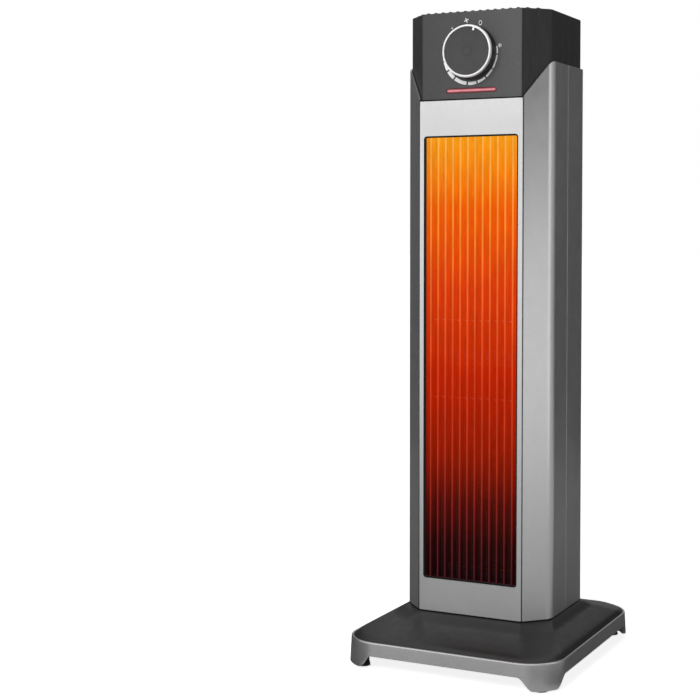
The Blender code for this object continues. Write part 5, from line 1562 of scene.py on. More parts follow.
    def pad(self) -> Shape:
        """Rubber pad with a brim, a stem and a ringed tread.

        Returns:
            The shape.
        """
        wide, core = (self.pad_radius + self.pad_brim) / MM, self.pad_radius / MM
        tread = [(0, 0.4), (1.6, 0.4)]
        for start in (1.9, 3.8, 5.7):
            tread += [(start, 0), (start + 1, 0), (start + 1.2, 0.4), (start + 1.6, 0.4)]
        side = [(wide - 0.6, 0), (wide, 0.6), (wide, 1.7), (wide - 0.3, 2), (core + 0.2, 2), (core, 2.3)]
        side += [(core, 3.8), (core - 0.2, 4), (3, 4), (3, 9.5), (2.5, 10), (0, 10)]
        return Shape.turned(tread[:-2] + side, 64)

    def pieces(self) -> Iterator[Piece]:
        """Skirt, plate, pads and screws.

        Returns:
            The pieces.
        """
        yield Piece("base_rim", self.skirt(), Finishes.skirt, "skirt_silver", ("base_skirt",))
        yield Piece("base_top", self.plate(), Finishes.plate, "base_dark", ("base_plate",))
        for corner, (sx, sy) in CORNERS.items():
            pad = self.pad().moved(sx * self.pad_x, sy * self.pad_y)
            yield Piece("pad_" + corner, pad, Finishes.rubber, "rubber_black", ("foot_pad_" + corner,))
        for corner, (sx, sy) in CORNERS.items():
            screw = Fastener(29).shape().turn(180, "X")
            screw.moved(sx * self.screw_x, sy * self.screw_y, 28.7 * MM)
            yield Piece("screw_base_" + corner, screw, Finishes.steel, "steel", ("base_screw_" + corner,))


@dataclass
class Fastener:
    """Pan-head screw with a cross recess and a coarse thread, sized in millimetres."""

    length: float
    head_radius: float = 3.2
    head_height: float = 2.0
    shank: float = 1.25
    crest: float = 1.5
    pitch: float = 1.1

    def shape(self) -> Shape:
        """The screw, with its head's seat at the origin and its head upwards.

        Returns:
            The shape.
        """
        radius, head, tip = self.head_radius, self.head_height, self.head_height - self.length
        profile = [(0, tip), (self.shank / 2, tip + 0.8), (self.shank, tip + 2.4)]
        for k in range(int((-tip - 4) / self.pitch)):
            z = tip + 2.6 + k * self.pitch
            profile += [(self.shank, z), (self.crest, z + self.pitch / 4), (self.shank, z + self.pitch / 2)]
        profile += [(self.shank, 0), (radius - 0.15, 0), (radius, 0.15)]
        for turn in (math.pi / 2 * k / 8 for k in range(1, 8)):
            profile.append((radius * math.cos(turn) ** 0.8, 0.7 + (head - 0.7) * math.sin(turn)))
        shape = Shape.turned(profile + [(0, head)], 32)
        arm, half, deep, top = 1.7 * MM, 0.32 * MM, 1.1 * MM, head * MM
        for wide, tall in ((arm, half), (half, arm)):
            shape.cut(Shape.block((-wide, -tall, top - deep), (wide, tall, top + deep)))
        return shape


@dataclass
class Tower(Assembly):
    """Silver front and rear housings with their screws and the cord inlet."""

    title = "tower"
    plan: TowerPlan = TowerPlan()
    window_half: float = 0.0471
    window_low: float = 0.0771
    window_high: float = 0.4946
    window_radius: float = 0.0030
    screw_x: float = 0.0580
    screw_zs: tuple[float, ...] = (0.06192, 0.30260, 0.51585)
    seat_y: float = 0.0200
    intake_half: float = 0.0480
    intake_low: float = 0.1120
    intake_high: float = 0.4700
    intake_rows: int = 14
    intake_columns: int = 3
    intake_rib: float = 0.0030
    slot_share: float = 0.46
    gland_z: float = 0.0660
    blade_lean: float = -28.0
    small_edge: float = 0.22 * MM

    @property
    def screw_places(self) -> list[tuple[float, float]]:
        """Side place and height of the six screws, left ones first."""
        return [(side * self.screw_x, z) for side in (-1, 1) for z in self.screw_zs]

    def front(self) -> Shape:
        """Front housing: chamfered wall with raised ears and the outlet window.

        Returns:
            The shape.
        """
        plan = self.plan
        front, side = plan.corners()
        left = [
            (-plan.half_width, plan.seam_y, 0.0, 1),
            (-side.x, side.y, plan.side_radius, 14),
            (-front.x, front.y, 0.0, 1),
        ]
        right = [(-x, y, radius, steps) for x, y, radius, steps in reversed(left)]
        shape = Shape.flat(left + right).rim_only()
        shape.drop_edges(lambda a, b: min(a.y, b.y) > plan.seam_y - MM / 10)
        shape.split(lambda a, b: abs(a.x) + abs(b.x) > 2 * front.x + MM, 1.6 * MM)
        shape.curtain(1)
        shape.bend(lambda p: Vector((p.x, p.y, plan.bottom if p.z < 0.5 else plan.ear_height(p.y))))
        shape.healed()
        face = max(shape.mesh.faces, key=lambda f: f.calc_area())
        if face.normal.y > 0:
            bmesh.ops.reverse_faces(shape.mesh, faces=shape.mesh.faces)
        middle = (self.window_low + self.window_high) / 2
        bmesh.ops.inset_individual(shape.mesh, faces=[face], thickness=3 * MM)
        for vert in face.verts:
            level = self.window_high if vert.co.z > middle else self.window_low
            vert.co = Vector((math.copysign(self.window_half, vert.co.x), vert.co.y, level))
        shape.bevel(list(face.verts), self.window_radius, 8, Rounding.CORNERS)
        window = max(shape.mesh.faces, key=lambda f: f.calc_area() if abs(f.normal.y) > 0.9 else 0.0)
        bmesh.ops.delete(shape.mesh, geom=[window], context="FACES_ONLY")
        shape.shell(plan.wall)
        shape.soften(
            lambda a, b: abs(abs(a.x) - front.x) + abs(abs(b.x) - front.x) < MM / 50
            and max(a.y, b.y) < front.y + MM / 50
            and abs(a.z - b.z) > 0.1,
            plan.front_radius * math.tan(math.radians(21)),
            4,
        )
        shape.ease_edges(self.small_edge, 40)
        along = (side - front).normalized()
        place, top = front + along * 0.8 * MM, plan.front_top + 3 * MM
        for sign in (-1, 1):
            low, high = (-0.6 * MM, -1.3 * MM, plan.bottom - MM), (0.6 * MM, 1.1 * MM, top)
            groove = Shape.block(low, high).turn(sign * math.degrees(math.atan2(along.y, along.x)))
            shape.cut(groove.moved(sign * place.x, place.y))
        return shape

    def slots(self) -> Shape:
        """Tool for the intake slots, flared at the outer face to leave a chamfer.

        Returns:
            The shape.
        """
        gaps = (self.intake_columns - 1) * self.intake_rib
        width = (2 * self.intake_half - gaps) / self.intake_columns
        pitch = (self.intake_high - self.intake_low) / self.intake_rows
        half_height = pitch * self.slot_share / 2
        deep = 4 * MM
        corners = ((-width / 2, -half_height), (width / 2, half_height))
        one = Shape.flared(corners, 2.4 * MM, 5, deep, 0.6 * MM).moved(z=self.plan.half_depth - deep)
        tool = Shape()
        for row in range(self.intake_rows):
            for column in range(self.intake_columns):
                x = (column - (self.intake_columns - 1) / 2) * (width + self.intake_rib)
                tool.add(one.copy().moved(x, self.intake_low + pitch * (row + 0.5)))
        return tool

    def well(self) -> Shape:
        """Tube that leads a screw from the back to its seat.

        Returns:
            The shape.
        """
        low, high = self.seat_y / MM, (self.plan.half_depth - self.plan.wall / 2) / MM
        profile = [(1.8, low - 2), (4.8, low - 2), (4.8, high), (3.6, high), (3.6, low), (1.8, low)]
        return Shape.turned(profile, 40, closed=True).turn(-90, "X")

    def hole(self, radius: float, flare: float) -> Shape:
        """Tool for a round hole through the rear wall, with a chamfer at its mouth.

        Args:
            radius: Its radius in millimetres.
            flare: Width of the chamfer, likewise.

        Returns:
            The tool.
        """
        face = self.plan.half_depth / MM
        mouth = [(radius, face - flare), (radius + 2 * flare, face + flare), (0, face + flare)]
        return Shape.turned([(0, face - 6), (radius, face - 6), *mouth], 48).turn(-90, "X")

    def rear(self) -> Shape:
        """Rear housing with its intake, louvre blades, screw wells and cord hole.

        Returns:
            The shape.
        """
        plan = self.plan
        seam = plan.seam_y + GAP
        corners = [
            (plan.half_width, seam, 0.0, 1),
            (plan.half_width, plan.half_depth, plan.rear_radius, 14),
            (-plan.half_width, plan.half_depth, plan.rear_radius, 14),
            (-plan.half_width, seam, 0.0, 1),
        ]
        shape = Shape.flat(corners).rim_only()
        shape.drop_edges(lambda a, b: max(a.y, b.y) < seam + MM / 10)
        shape.curtain(1)
        shape.bend(lambda p: Vector((p.x, p.y, plan.bottom if p.z < 0.5 else plan.ear_top))).healed()
        back = max(shape.mesh.faces, key=lambda f: f.calc_center_median().y)
        if back.normal.y < 0:
            bmesh.ops.reverse_faces(shape.mesh, faces=shape.mesh.faces)
        shape.shell(plan.wall)
        shape.ease_edges(self.small_edge, 60)
        shape.cut(self.slots().upright(Side.REAR))
        for x, z in self.screw_places:
            shape.cut(self.hole(3.6, 0.35).moved(x, z=z))
        shape.cut(self.hole(6.1, 0.3).moved(z=self.gland_z))
        for x, z in self.screw_places:
            shape.add(self.well().moved(x, z=z))
        return shape.add(self.blades())

    def blades(self) -> Shape:
        """Slanted louvre blades inside the intake slots.

        Returns:
            The shape.
        """
        pitch = (self.intake_high - self.intake_low) / self.intake_rows
        inner = self.plan.half_depth - self.plan.wall
        size = Vector((self.intake_half + MM, 1.8 * MM, 0.45 * MM))
        blades = Shape()
        for row in range(self.intake_rows):
            for k in (-1, 0, 1):
                z = self.intake_low + pitch * (row + 0.5) + k * pitch * self.slot_share / 3
                blade = Shape.block(-size, size, 0.2 * MM, 1).turn(self.blade_lean, "X")
                blades.add(blade.moved(y=inner - 0.9 * MM, z=z))
        return blades

    def gland(self) -> Shape:
        """Ribbed cord inlet bush with an open bore.

        Returns:
            The shape.
        """
        profile = [(3.4, -4.4), (7.4, -4.4), (7.4, -2.5), (5.8, -2.5), (5.8, 0.3), (7.9, 0.3), (8.2, 0.6)]
        profile += [(8.2, 1.8), (7.8, 2.2)]
        for k in range(5):
            z, outer = 2.4 + 2.2 * k, 5.6 - 0.16 * k
            profile += [(outer, z), (outer, z + 1.3), (outer - 0.9, z + 1.5), (outer - 0.9, z + 2)]
        return Shape.turned(profile + [(4.7, 13.6), (4.5, 14.2), (3.7, 14.2), (3.4, 13.9)], 56, closed=True)

    def pieces(self) -> Iterator[Piece]:
        """Both housings, six screws and the bush.

        Returns:
            The pieces.
        """
        yield Piece("housing_front", self.front(), Finishes.tower, "tower_silver", ("front_housing",))
        yield Piece("housing_rear", self.rear(), Finishes.tower, "tower_silver", ("rear_housing",))
        names = [f"{level}_{hand}" for hand in ("left", "right") for level in ("lower", "middle", "upper")]
        for (x, z), name in zip(self.screw_places, names):
            screw = Fastener(30).shape().turn(-90, "X").moved(x, self.seat_y + GAP, z)
            yield Piece("screw_back_" + name, screw, Finishes.steel, "steel", ("housing_screw_" + name,))
        bush = self.gland().turn(-90, "X")
        bush.moved(y=self.plan.half_depth, z=self.gland_z)
        yield Piece("cord_bush", bush, Finishes.rubber, "rubber_black", ("cord_gland",))

    def kept(self) -> dict[str, Finish]:
        """The dark floor under the tower."""
        return {"tower_floor": Finishes.black}


@dataclass
class Head(Assembly):
    """Ribbed charcoal head with its switch, lamp and light bar."""

    title = "head"
    plan: TowerPlan = TowerPlan()
    side_inset: float = 0.0025
    front_inset: float = 0.0017
    side_radius: float = 0.0095
    wall: float = 0.0024
    edge: float = 0.0009
    rib_pairs: int = 8
    rib_pitch: float = 0.00745
    rib_width: float = 0.0026
    rib_height: float = 0.0010
    rib_margin: float = 0.0022
    knob_z: float = 0.5712
    bush: float = 0.0053
    bar_z: float = 0.5361
    bar_half_length: float = 0.0247
    bar_half_height: float = 0.0019
    grip_half: float = 0.0440
    grip_low: float = 0.5690
    grip_high: float = 0.5980
    grip_depth: float = 0.0230

    def prism(self, extra: float, rear_y: float, rear_radius: float) -> Shape:
        """Closed plan of the head.

        Args:
            extra: How far it is set in beyond the head's own outside.
            rear_y: Depth of its back.
            rear_radius: Radius of its back corners.

        Returns:
            The flat plan.
        """
        front, side = self.plan.corners(self.side_inset + extra, self.front_inset + extra)
        radius = self.side_radius - extra
        right = [(front.x, front.y, 0.0, 1), (side.x, side.y, radius, 14), (side.x, rear_y, rear_radius, 12)]
        left = [(-x, y, r, steps) for x, y, r, steps in reversed(right)]
        return Shape.flat(left + right)

    def ribs(self) -> Shape:
        """Rounded ribs that run over the top from front to back.

        Returns:
            The shape.
        """
        front, side = self.plan.corners(self.side_inset, self.front_inset)
        ribs = Shape()
        top, half = self.plan.head_top, self.rib_width / 2
        for k in range(-self.rib_pairs, self.rib_pairs + 1):
            x = k * self.rib_pitch
            along = max(abs(x) + half - front.x, 0.0) / (side.x - front.x)
            start = front.y + (side.y - front.y) * along + self.rib_margin
            end = self.plan.half_depth - 12 * MM
            rib = Shape.block((x - half, start, top - 0.8 * MM), (x + half, end, top + self.rib_height))
            rib.soften(lambda a, b: min(a.z, b.z) > top + 0.9 * MM, 0.55 * MM, 4)
            ribs.add(rib)
        return ribs

    def body(self) -> Shape:
        """Head with rounded edges, hollow front, grip recess and holes in the panel.

        Returns:
            The shape.
        """
        plan = self.plan
        low, back = plan.front_top + plan.reveal, plan.half_depth - self.side_inset
        shape = self.prism(0.0, back, plan.rear_radius - self.side_inset).moved(z=low)
        shape.rise(plan.head_top - low)
        front, _ = plan.corners(self.side_inset, self.front_inset)
        near = front.y + MM / 50
        shape.soften(
            lambda a, b: min(a.z, b.z) > plan.head_top - MM / 50
            or (abs(a.z - b.z) > 0.01 and max(a.y, b.y) < near),
            self.edge,
            4,
        )
        hollow = self.prism(self.wall, back - self.grip_depth - self.wall, 0.0).moved(z=low - 4 * MM)
        shape.cut(hollow.rise(plan.head_top - self.wall - low + 4 * MM))
        shape.cut(self.grip().upright(Side.REAR))
        shape.cut(self.panel_tools().upright(Side.FRONT))
        return shape.add(self.ribs())

    def grip(self) -> Shape:
        """Tool for the grip recess in the back, with a flared mouth.

        Returns:
            The tool.
        """
        corners = ((-self.grip_half, self.grip_low), (self.grip_half, self.grip_high))
        tool = Shape.flared(corners, 8 * MM, 8, self.grip_depth, 0.8 * MM)
        return tool.moved(z=self.plan.half_depth - self.side_inset - self.grip_depth)

    @property
    def panel_y(self) -> float:
        """Distance of the panel's face from the middle."""
        return self.plan.half_depth - self.front_inset

    def bar_plate(self, grow: float, radius: float, steps: int, low: float, tall: float) -> Shape:
        """Slab of the light bar's outline, drawn flat.

        Args:
            grow: How far it reaches past the bar.
            radius: Radius of its ends.
            steps: Steps of each corner.
            low: Its start, from the panel's face.
            tall: Its thickness.

        Returns:
            The slab.
        """
        wide, high = self.bar_half_length + grow, self.bar_half_height + grow
        slab = Shape.plate((-wide, self.bar_z - high), (wide, self.bar_z + high), radius, steps)
        return slab.moved(z=self.panel_y + low).rise(tall)

    def panel_tools(self) -> Shape:
        """Tools for the switch bush and the light bar, drawn flat.

        Returns:
            The tools.
        """
        gap = 0.45 * MM
        slot = self.bar_plate(gap, (self.bar_half_height + gap) * 0.98, 8, -4.4 * MM, 9 * MM)
        profile = [(0, -4.4), (self.bush / MM, -4.4), (self.bush / MM, 4), (0, 4)]
        return slot.add(Shape.turned(profile, 40).moved(y=self.knob_z, z=self.panel_y))

    def light_bar(self) -> Shape:
        """Crowned red bar with a flange behind the panel.

        Returns:
            The shape.
        """
        bar = self.bar_plate(0.0, self.bar_half_height * 0.97, 10, -3.2 * MM, 3.5 * MM)
        bar.soften(lambda a, b: min(a.z, b.z) > self.panel_y, 0.7 * MM, 5)
        grow = 1.2 * MM
        flange = self.bar_plate(grow, self.bar_half_height + grow * 0.9, 10, -3.9 * MM, 1.2 * MM)
        return bar.add(flange).upright(Side.FRONT)

    def pieces(self) -> Iterator[Piece]:
        """The head and its light bar."""
        yield Piece("head_cap", self.body(), Finishes.head, "head_charcoal", ("control_head",))
        yield Piece("light_bar", self.light_bar(), Finishes.lens, "lens_red", ("indicator_lens",))

    def kept(self) -> dict[str, Finish]:
        """Switch and lamp inside the head.

        Returns:
            Finish of each kept node.
        """
        return {
            "rotary_switch": Finishes.cream,
            "indicator_lamp": Finishes.lamp,
            "knob_shaft": Finishes.steel,
        }


@dataclass
class Dial(Assembly):
    """Knob, its white bezel and the marks printed round it."""

    title = "dial"
    centre_z: float = 0.5712
    panel_y: float = -0.0568
    radius_mm: float = 24.3
    ring_width_mm: float = 2.1
    top_mm: float = 11.5
    pointer: float = 19.0
    ink: float = 0.12 * MM
    arc_table: tuple[tuple[float, float, float], ...] = (
        (79, 25.0, 26.1),
        (115, 25.3, 26.6),
        (138, 26.1, 27.9),
        (158, 27.0, 29.3),
        (180, 27.3, 30.4),
        (202, 27.2, 30.6),
        (226, 26.7, 30.2),
        (246, 26.1, 29.2),
        (278, 25.4, 28.1),
    )
    bounds: tuple[float, ...] = (79.2, 97.3, 127.7, 148.7, 168.3, 187.8, 215.6, 235.0, 254.8, 277.3)

    def outwards(self, shape: Shape) -> Shape:
        """Stand a shape drawn about the origin on the panel, facing front."""
        return shape.upright(Side.FRONT).moved(y=self.panel_y, z=self.centre_z)

    def knob(self) -> Shape:
        """Knob with a dished face, a groove for the bezel, a slightly flared skirt and a socket.

        Returns:
            The shape.
        """
        outer, top = self.radius_mm, self.top_mm
        rim = outer - self.ring_width_mm - GAP / MM
        profile = [(0, top - 0.72), (3.6, top - 0.74), (4.1, top - 0.84), (4.5, top - 1.02)]
        for k in range(1, 11):
            share = 0.22 + 0.78 * k / 10
            profile.append((rim * share - 0.3 * (k == 10), top - 1.02 * (1 - share**2)))
        profile += [(rim, top - 0.2), (rim, top - 2.5), (outer - 0.3, top - 2.5), (outer, top - 2.8)]
        profile += [(outer + 0.1, 6), (24.7, 0.7), (24.4, 0.3), (22.1, 0.3), (22.1, 7.1), (6.2, 7.1)]
        profile += [(6.2, 3.3), (3.35, 3.3), (3.35, 9.5), (0, 9.5)]
        return self.outwards(Shape.turned(profile, 128))

    def bezel(self) -> Shape:
        """White ring with a chamfer outside and the pointer inside it.

        Returns:
            The shape.
        """
        inner, outer, top = self.radius_mm - self.ring_width_mm, self.radius_mm, self.top_mm
        profile = [(inner, top - 2.2), (inner, top + 0.6), (inner + 0.2, top + 0.8), (inner + 1.2, top + 0.8)]
        profile += [(inner + 1.6, top + 0.6), (outer - 0.1, top - 0.7), (outer, top - 1), (outer, top - 2.2)]
        ring = Shape.turned(profile, 144, closed=True)
        low, high = Vector((-0.95, inner - 2.8, top - 0.9)), Vector((0.95, inner + 0.5, top + 0.55))
        return self.outwards(ring.add(Shape.block(low * MM, high * MM, 0.25 * MM, 3).turn(-self.pointer)))

    def arc_radius(self, degrees: float, outer: bool) -> float:
        """Radius of the growing arc's inner or outer edge at a clock angle.

        Args:
            degrees: The angle.
            outer: The outer edge, not the inner one.

        Returns:
            The radius.
        """
        for (start, *first), (end, *last) in zip(self.arc_table, self.arc_table[1:]):
            if degrees <= end:
                break
        share = (degrees - start) / (end - start)
        return (first[outer] + (last[outer] - first[outer]) * share) * MM

    def arcs(self) -> Shape:
        """Nine segments of an arc that widens clockwise.

        Returns:
            The shape.
        """
        arcs = Shape()
        for start, end in zip(self.bounds, self.bounds[1:]):
            low, high = start + 1.5, end - 1.5
            arc = Shape()
            pair = [arc.mesh.verts.new((0, 1, 0)), arc.mesh.verts.new((0, 2, 0))]
            edge = arc.mesh.edges.new(pair)
            bmesh.ops.rotate(arc.mesh, verts=pair, matrix=Matrix.Rotation(-math.radians(low), 3, "Z"))
            bmesh.ops.spin(
                arc.mesh,
                geom=pair + [edge],
                axis=(0, 0, 1),
                angle=-math.radians(high - low),
                steps=max(int(high - low), 2),
            )
            for vert in arc.mesh.verts:
                degrees = math.degrees(math.atan2(vert.co.x, vert.co.y)) % 360
                vert.co = vert.co.normalized() * self.arc_radius(degrees, vert.co.length > 1.5)
            arcs.add(arc.rise(self.ink))
        return arcs

    def petal(self, length: float, width: float) -> Shape:
        """Oval leaf that points up from the origin.

        Args:
            length: Its length.
            width: Its width.

        Returns:
            The leaf.
        """
        leaf = Shape()
        bmesh.ops.create_circle(leaf.mesh, cap_ends=True, segments=20, radius=1.0)
        leaf.transform(Matrix.Diagonal((width / 2, length / 2, 1, 1))).moved(y=length / 2)
        return leaf.rise(self.ink)

    def at_clock(self, mark: Shape, degrees: float, reach: float) -> Shape:
        """Put a mark, kept upright, at a clock angle and a distance from the knob."""
        angle = math.radians(degrees)
        return mark.moved(reach * math.sin(angle), reach * math.cos(angle))

    def fan(self) -> Shape:
        """Fan mark of four leaning leaves.

        Returns:
            The shape.
        """
        mark = Shape()
        for k in range(4):
            leaf = self.petal(2.1 * MM, 0.95 * MM).moved(x=0.2 * MM, y=0.3 * MM)
            mark.add(leaf.turn(90 * k + 28))
        dot = Shape()
        bmesh.ops.create_circle(dot.mesh, cap_ends=True, segments=16, radius=0.45 * MM)
        return mark.add(dot.rise(self.ink))

    def zero(self) -> Shape:
        """Off mark: an upright oval ring."""
        ring = Shape.turned([(1, 0), (1.32, 0), (1.32, 1), (1, 1)], 48, closed=True)
        return ring.transform(Matrix.Diagonal((1.20, 1.70, self.ink / MM, 1)))

    def frost(self) -> Shape:
        """Frost mark of three crossed bars with small branches.

        Returns:
            The shape.
        """
        mark = Shape()
        thick = 0.17 * MM
        for k in range(6):
            arm = Shape.block((-thick, 0, 0), (thick, 2.0 * MM, self.ink))
            for side in (-1, 1):
                twig = Shape.block((-thick * 0.8, 0, 0), (thick * 0.8, 0.7 * MM, self.ink))
                twig.turn(side * 48)
                arm.add(twig.moved(y=1.1 * MM))
            mark.add(arm.turn(60 * k))
        return mark

    def print_marks(self) -> Shape:
        """All the marks on the panel.

        Returns:
            The shape.
        """
        marks = self.arcs()
        marks.add(self.at_clock(self.fan(), -9.5, 29.9 * MM))
        marks.add(self.at_clock(self.zero(), 18.6, 27.9 * MM))
        marks.add(self.at_clock(self.frost(), 80.5, 28.5 * MM))
        drop = self.petal(1.7 * MM, 0.9 * MM).turn(38)
        marks.add(self.at_clock(drop, 320.0, 29.2 * MM))
        return self.outwards(marks)

    def pieces(self) -> Iterator[Piece]:
        """Knob, bezel and marks.

        Returns:
            The pieces.
        """
        yield Piece("knob_cap", self.knob(), Finishes.knob, "knob_black", ("control_knob",), Body.KNOB)
        yield Piece("knob_bezel", self.bezel(), Finishes.bezel, "knob_white", ("knob_ring",), Body.KNOB)
        yield Piece("dial_marks", self.print_marks(), Finishes.ink, "knob_white")


@dataclass
class Outlet(Assembly):
    """Louvre in the window and the hot elements behind it."""

    title = "outlet"
    plan: TowerPlan = TowerPlan()
    rim_half: float = 0.0468
    rim_low: float = 0.0774
    rim_high: float = 0.4943
    rim_width: float = 0.0013
    rim_recess: float = 0.0012
    flange: float = 0.0040
    flange_thickness: float = 0.0016
    slats: int = 12
    span: float = 0.0820
    slat_thickness: float = 0.0015
    slat_depth: float = 0.0090
    slat_recess: float = 0.0024
    rib_zs: tuple[float, float] = (0.24935, 0.32235)
    rib_depths: tuple[float, float] = (3.6 * MM, 6.4 * MM)
    rib_half: float = 0.45 * MM
    pip: float = 0.7 * MM
    element_ends: tuple[tuple[str, float, float], ...] = (
        ("lower", 0.0830, 0.28215),
        ("upper", 0.29075, 0.4899),
    )
    element_half: float = 0.0377
    element_back: float = -0.0173
    element_depth: float = 0.0100
    fold: float = 0.0013
    fold_tilt: float = 0.0026
    fold_start: float = 1.2 * MM
    fold_ends: float = 2.8 * MM
    fin_sheet: float = 0.28 * MM
    fin_inset: float = 0.6 * MM
    bar: float = 3 * MM
    bar_overlap: float = 0.2 * MM
    end_plates: tuple[float, float] = (2 * MM, 4.4 * MM)
    carrier_half: float = 0.0440
    carrier_low: float = 0.0767
    carrier_high: float = 0.4962
    carrier_front: float = -0.0293
    carrier_back: float = -0.0153
    carrier_border: float = 0.0060
    bridge: tuple[float, float] = (0.28245, 0.29045)
    guide_lean: float = 7.0
    guide_half: float = 0.6 * MM
    guide_inset: float = 0.7 * MM
    guide_depth: float = 24.4 * MM
    hood_depth: float = 24 * MM

    def frame(self, half: float, low: float, high: float, width: float, front: float, back: float) -> Shape:
        """Flat rectangular ring with rounded corners, stood up facing front.

        Args:
            half: Half its outer width.
            low: Its lower edge.
            high: Its upper edge.
            width: Width of its border.
            front: Depth of its front face.
            back: Depth of its back face.

        Returns:
            The ring.
        """
        ring = Shape.plate((-half, low), (half, high), 3 * MM, 8).moved(z=-back)
        bmesh.ops.inset_region(
            ring.mesh, faces=ring.mesh.faces[:], thickness=width, use_boundary=True, use_even_offset=True
        )
        middle = max(ring.mesh.faces, key=lambda f: f.calc_area())
        bmesh.ops.delete(ring.mesh, geom=[middle], context="FACES_ONLY")
        return ring.rise(back - front).upright(Side.FRONT)

    def slat(self) -> Shape:
        """One upright slat with a round nose and a slim tail.

        Returns:
            The shape.
        """
        front = -self.plan.half_depth + self.slat_recess
        half = self.slat_thickness / 2
        buried = self.rim_width / 2
        low, high = self.rim_low + buried, self.rim_high - buried
        slat = Shape.block((-half, front, low), (half, front + self.slat_depth, high))
        tail = [v for v in slat.mesh.verts if v.co.y > front + MM]
        bmesh.ops.scale(slat.mesh, vec=(0.5, 1, 1), verts=tail)
        return slat.soften(lambda a, b: abs(a.z - b.z) > 0.1 and max(a.y, b.y) < front + MM, half * 0.9, 5)

    def louvre(self) -> Shape:
        """Rim, flange, slats, cross ribs and the small pips where they meet.

        Returns:
            The shape.
        """
        face = -self.plan.half_depth
        inner = face + self.plan.wall + GAP
        back = inner + self.flange_thickness
        start = face + self.rim_recess
        shape = self.frame(self.rim_half, self.rim_low, self.rim_high, self.rim_width, start, back)
        shape.soften(lambda a, b: max(a.y, b.y) < start + MM / 50, 0.3 * MM, 3)
        grow = self.flange
        low, high = self.rim_low - grow, self.rim_high + grow
        shape.add(self.frame(self.rim_half + grow, low, high, grow + 1.2 * MM, inner, back))
        front = face + self.slat_recess
        slat = self.slat()
        pitch = self.span / (self.slats - 1)
        places = [-self.span / 2 + pitch * k for k in range(self.slats)]
        for x in places:
            shape.add(slat.copy().moved(x=x))
        for z in self.rib_zs:
            reach = self.rim_half - self.rim_width / 2
            near, far = (front + depth for depth in self.rib_depths)
            low, high = (-reach, near, z - self.rib_half), (reach, far, z + self.rib_half)
            shape.add(Shape.block(low, high, 0.3 * MM, 2))
            # Each pip sits at the slats' noses and takes their brighter painted glow, which shows as a small
            # light dot.
            for x in places[1:]:
                pip = Shape()
                bmesh.ops.create_uvsphere(pip.mesh, u_segments=12, v_segments=8, radius=self.pip)
                shape.add(pip.moved(x - self.slat_thickness * 0.6, front + 0.6 * MM, z))
        return shape

    def element(self, low: float, high: float) -> Shape:
        """Finned element: end plates, three bars and a folded strip in each column.

        Args:
            low: Its lower end.
            high: Its upper end.

        Returns:
            The element.
        """
        half, back = self.element_half, self.element_back
        front = back - self.element_depth
        shape = Shape()
        foot, cap = self.end_plates
        for z, tall in ((low, foot), (high - cap, cap)):
            shape.add(Shape.block((-half, front, z), (half, back, z + tall), 0.3 * MM, 2))
        for x in (-half, -self.bar / 2, half - self.bar):
            shape.add(Shape.block((x, front, low + MM), (x + self.bar, back, high - MM), 0.3 * MM, 2))
        left, right = -half + self.bar - self.bar_overlap, -self.bar / 2 + self.bar_overlap
        strip = Shape()
        start, middle, inset = low + self.fold_start, (front + back) / 2, self.fin_inset
        places = ((front + inset, start), (middle, start + self.fold_tilt), (back - inset, start))
        chain = [strip.mesh.verts.new((left, y, z)) for y, z in places]
        ring = [strip.mesh.edges.new(pair) for pair in zip(chain, chain[1:])]
        folds = int((high - low - self.fold_ends - self.fold_tilt) / self.fold)
        for k in range(folds):
            ring = strip.pull(ring, ((right - left) * (1 if k % 2 == 0 else -1), 0, self.fold))
        bmesh.ops.recalc_face_normals(strip.mesh, faces=strip.mesh.faces)
        strip.shell(self.fin_sheet)
        shape.add(strip)
        return shape.add(strip.copy().moved(x=half - self.bar / 2))

    def carrier(self) -> Shape:
        """Frame with a bridge for both elements and four guide walls up to the louvre.

        Returns:
            The shape.
        """
        low, high, front, back = self.carrier_low, self.carrier_high, self.carrier_front, self.carrier_back
        half, inner = self.carrier_half, self.carrier_half - self.carrier_border
        shape = Shape.block((-half, front, low), (half, back, high), 0.4 * MM, 2)
        border = self.carrier_border
        for start, end in ((low + border, self.bridge[0]), (self.bridge[1], high - border)):
            shape.cut(Shape.block((-inner, front - MM, start), (inner, back + MM, end)))
        # The guide walls and hoods reach forward to the louvre and carry the carrier's painted glow into the
        # bays beside the elements.
        thin = self.guide_half
        for side in (-1, 1):
            wall = Shape.block((-thin, -self.guide_depth, low), (thin, thin, high), 0.3 * MM, 2)
            wall.turn(side * self.guide_lean)
            shape.add(wall.moved(side * (half - self.guide_inset), front))
        for z in (low, high):
            start, end = (-half, front - self.hood_depth, z - thin), (half, front + thin, z + thin)
            shape.add(Shape.block(start, end, 0.3 * MM, 2))
        return shape

    def pieces(self) -> Iterator[Piece]:
        """Louvre, carrier and both elements.

        Returns:
            The pieces.
        """
        yield Piece("louvre", self.louvre(), Finishes.louvre, "grille_black", ("front_grille",))
        yield Piece("heat_carrier", self.carrier(), Finishes.carrier, "carrier_grey", ("heater_carrier",))
        for name, low, high in self.element_ends:
            element = self.element(low, high)
            yield Piece("fins_" + name, element, Finishes.fins, "element_metal", ("heating_element_" + name,))

    def kept(self) -> dict[str, Finish]:
        """Cut-out beside the elements."""
        return {"thermal_cutout": Finishes.cutout}


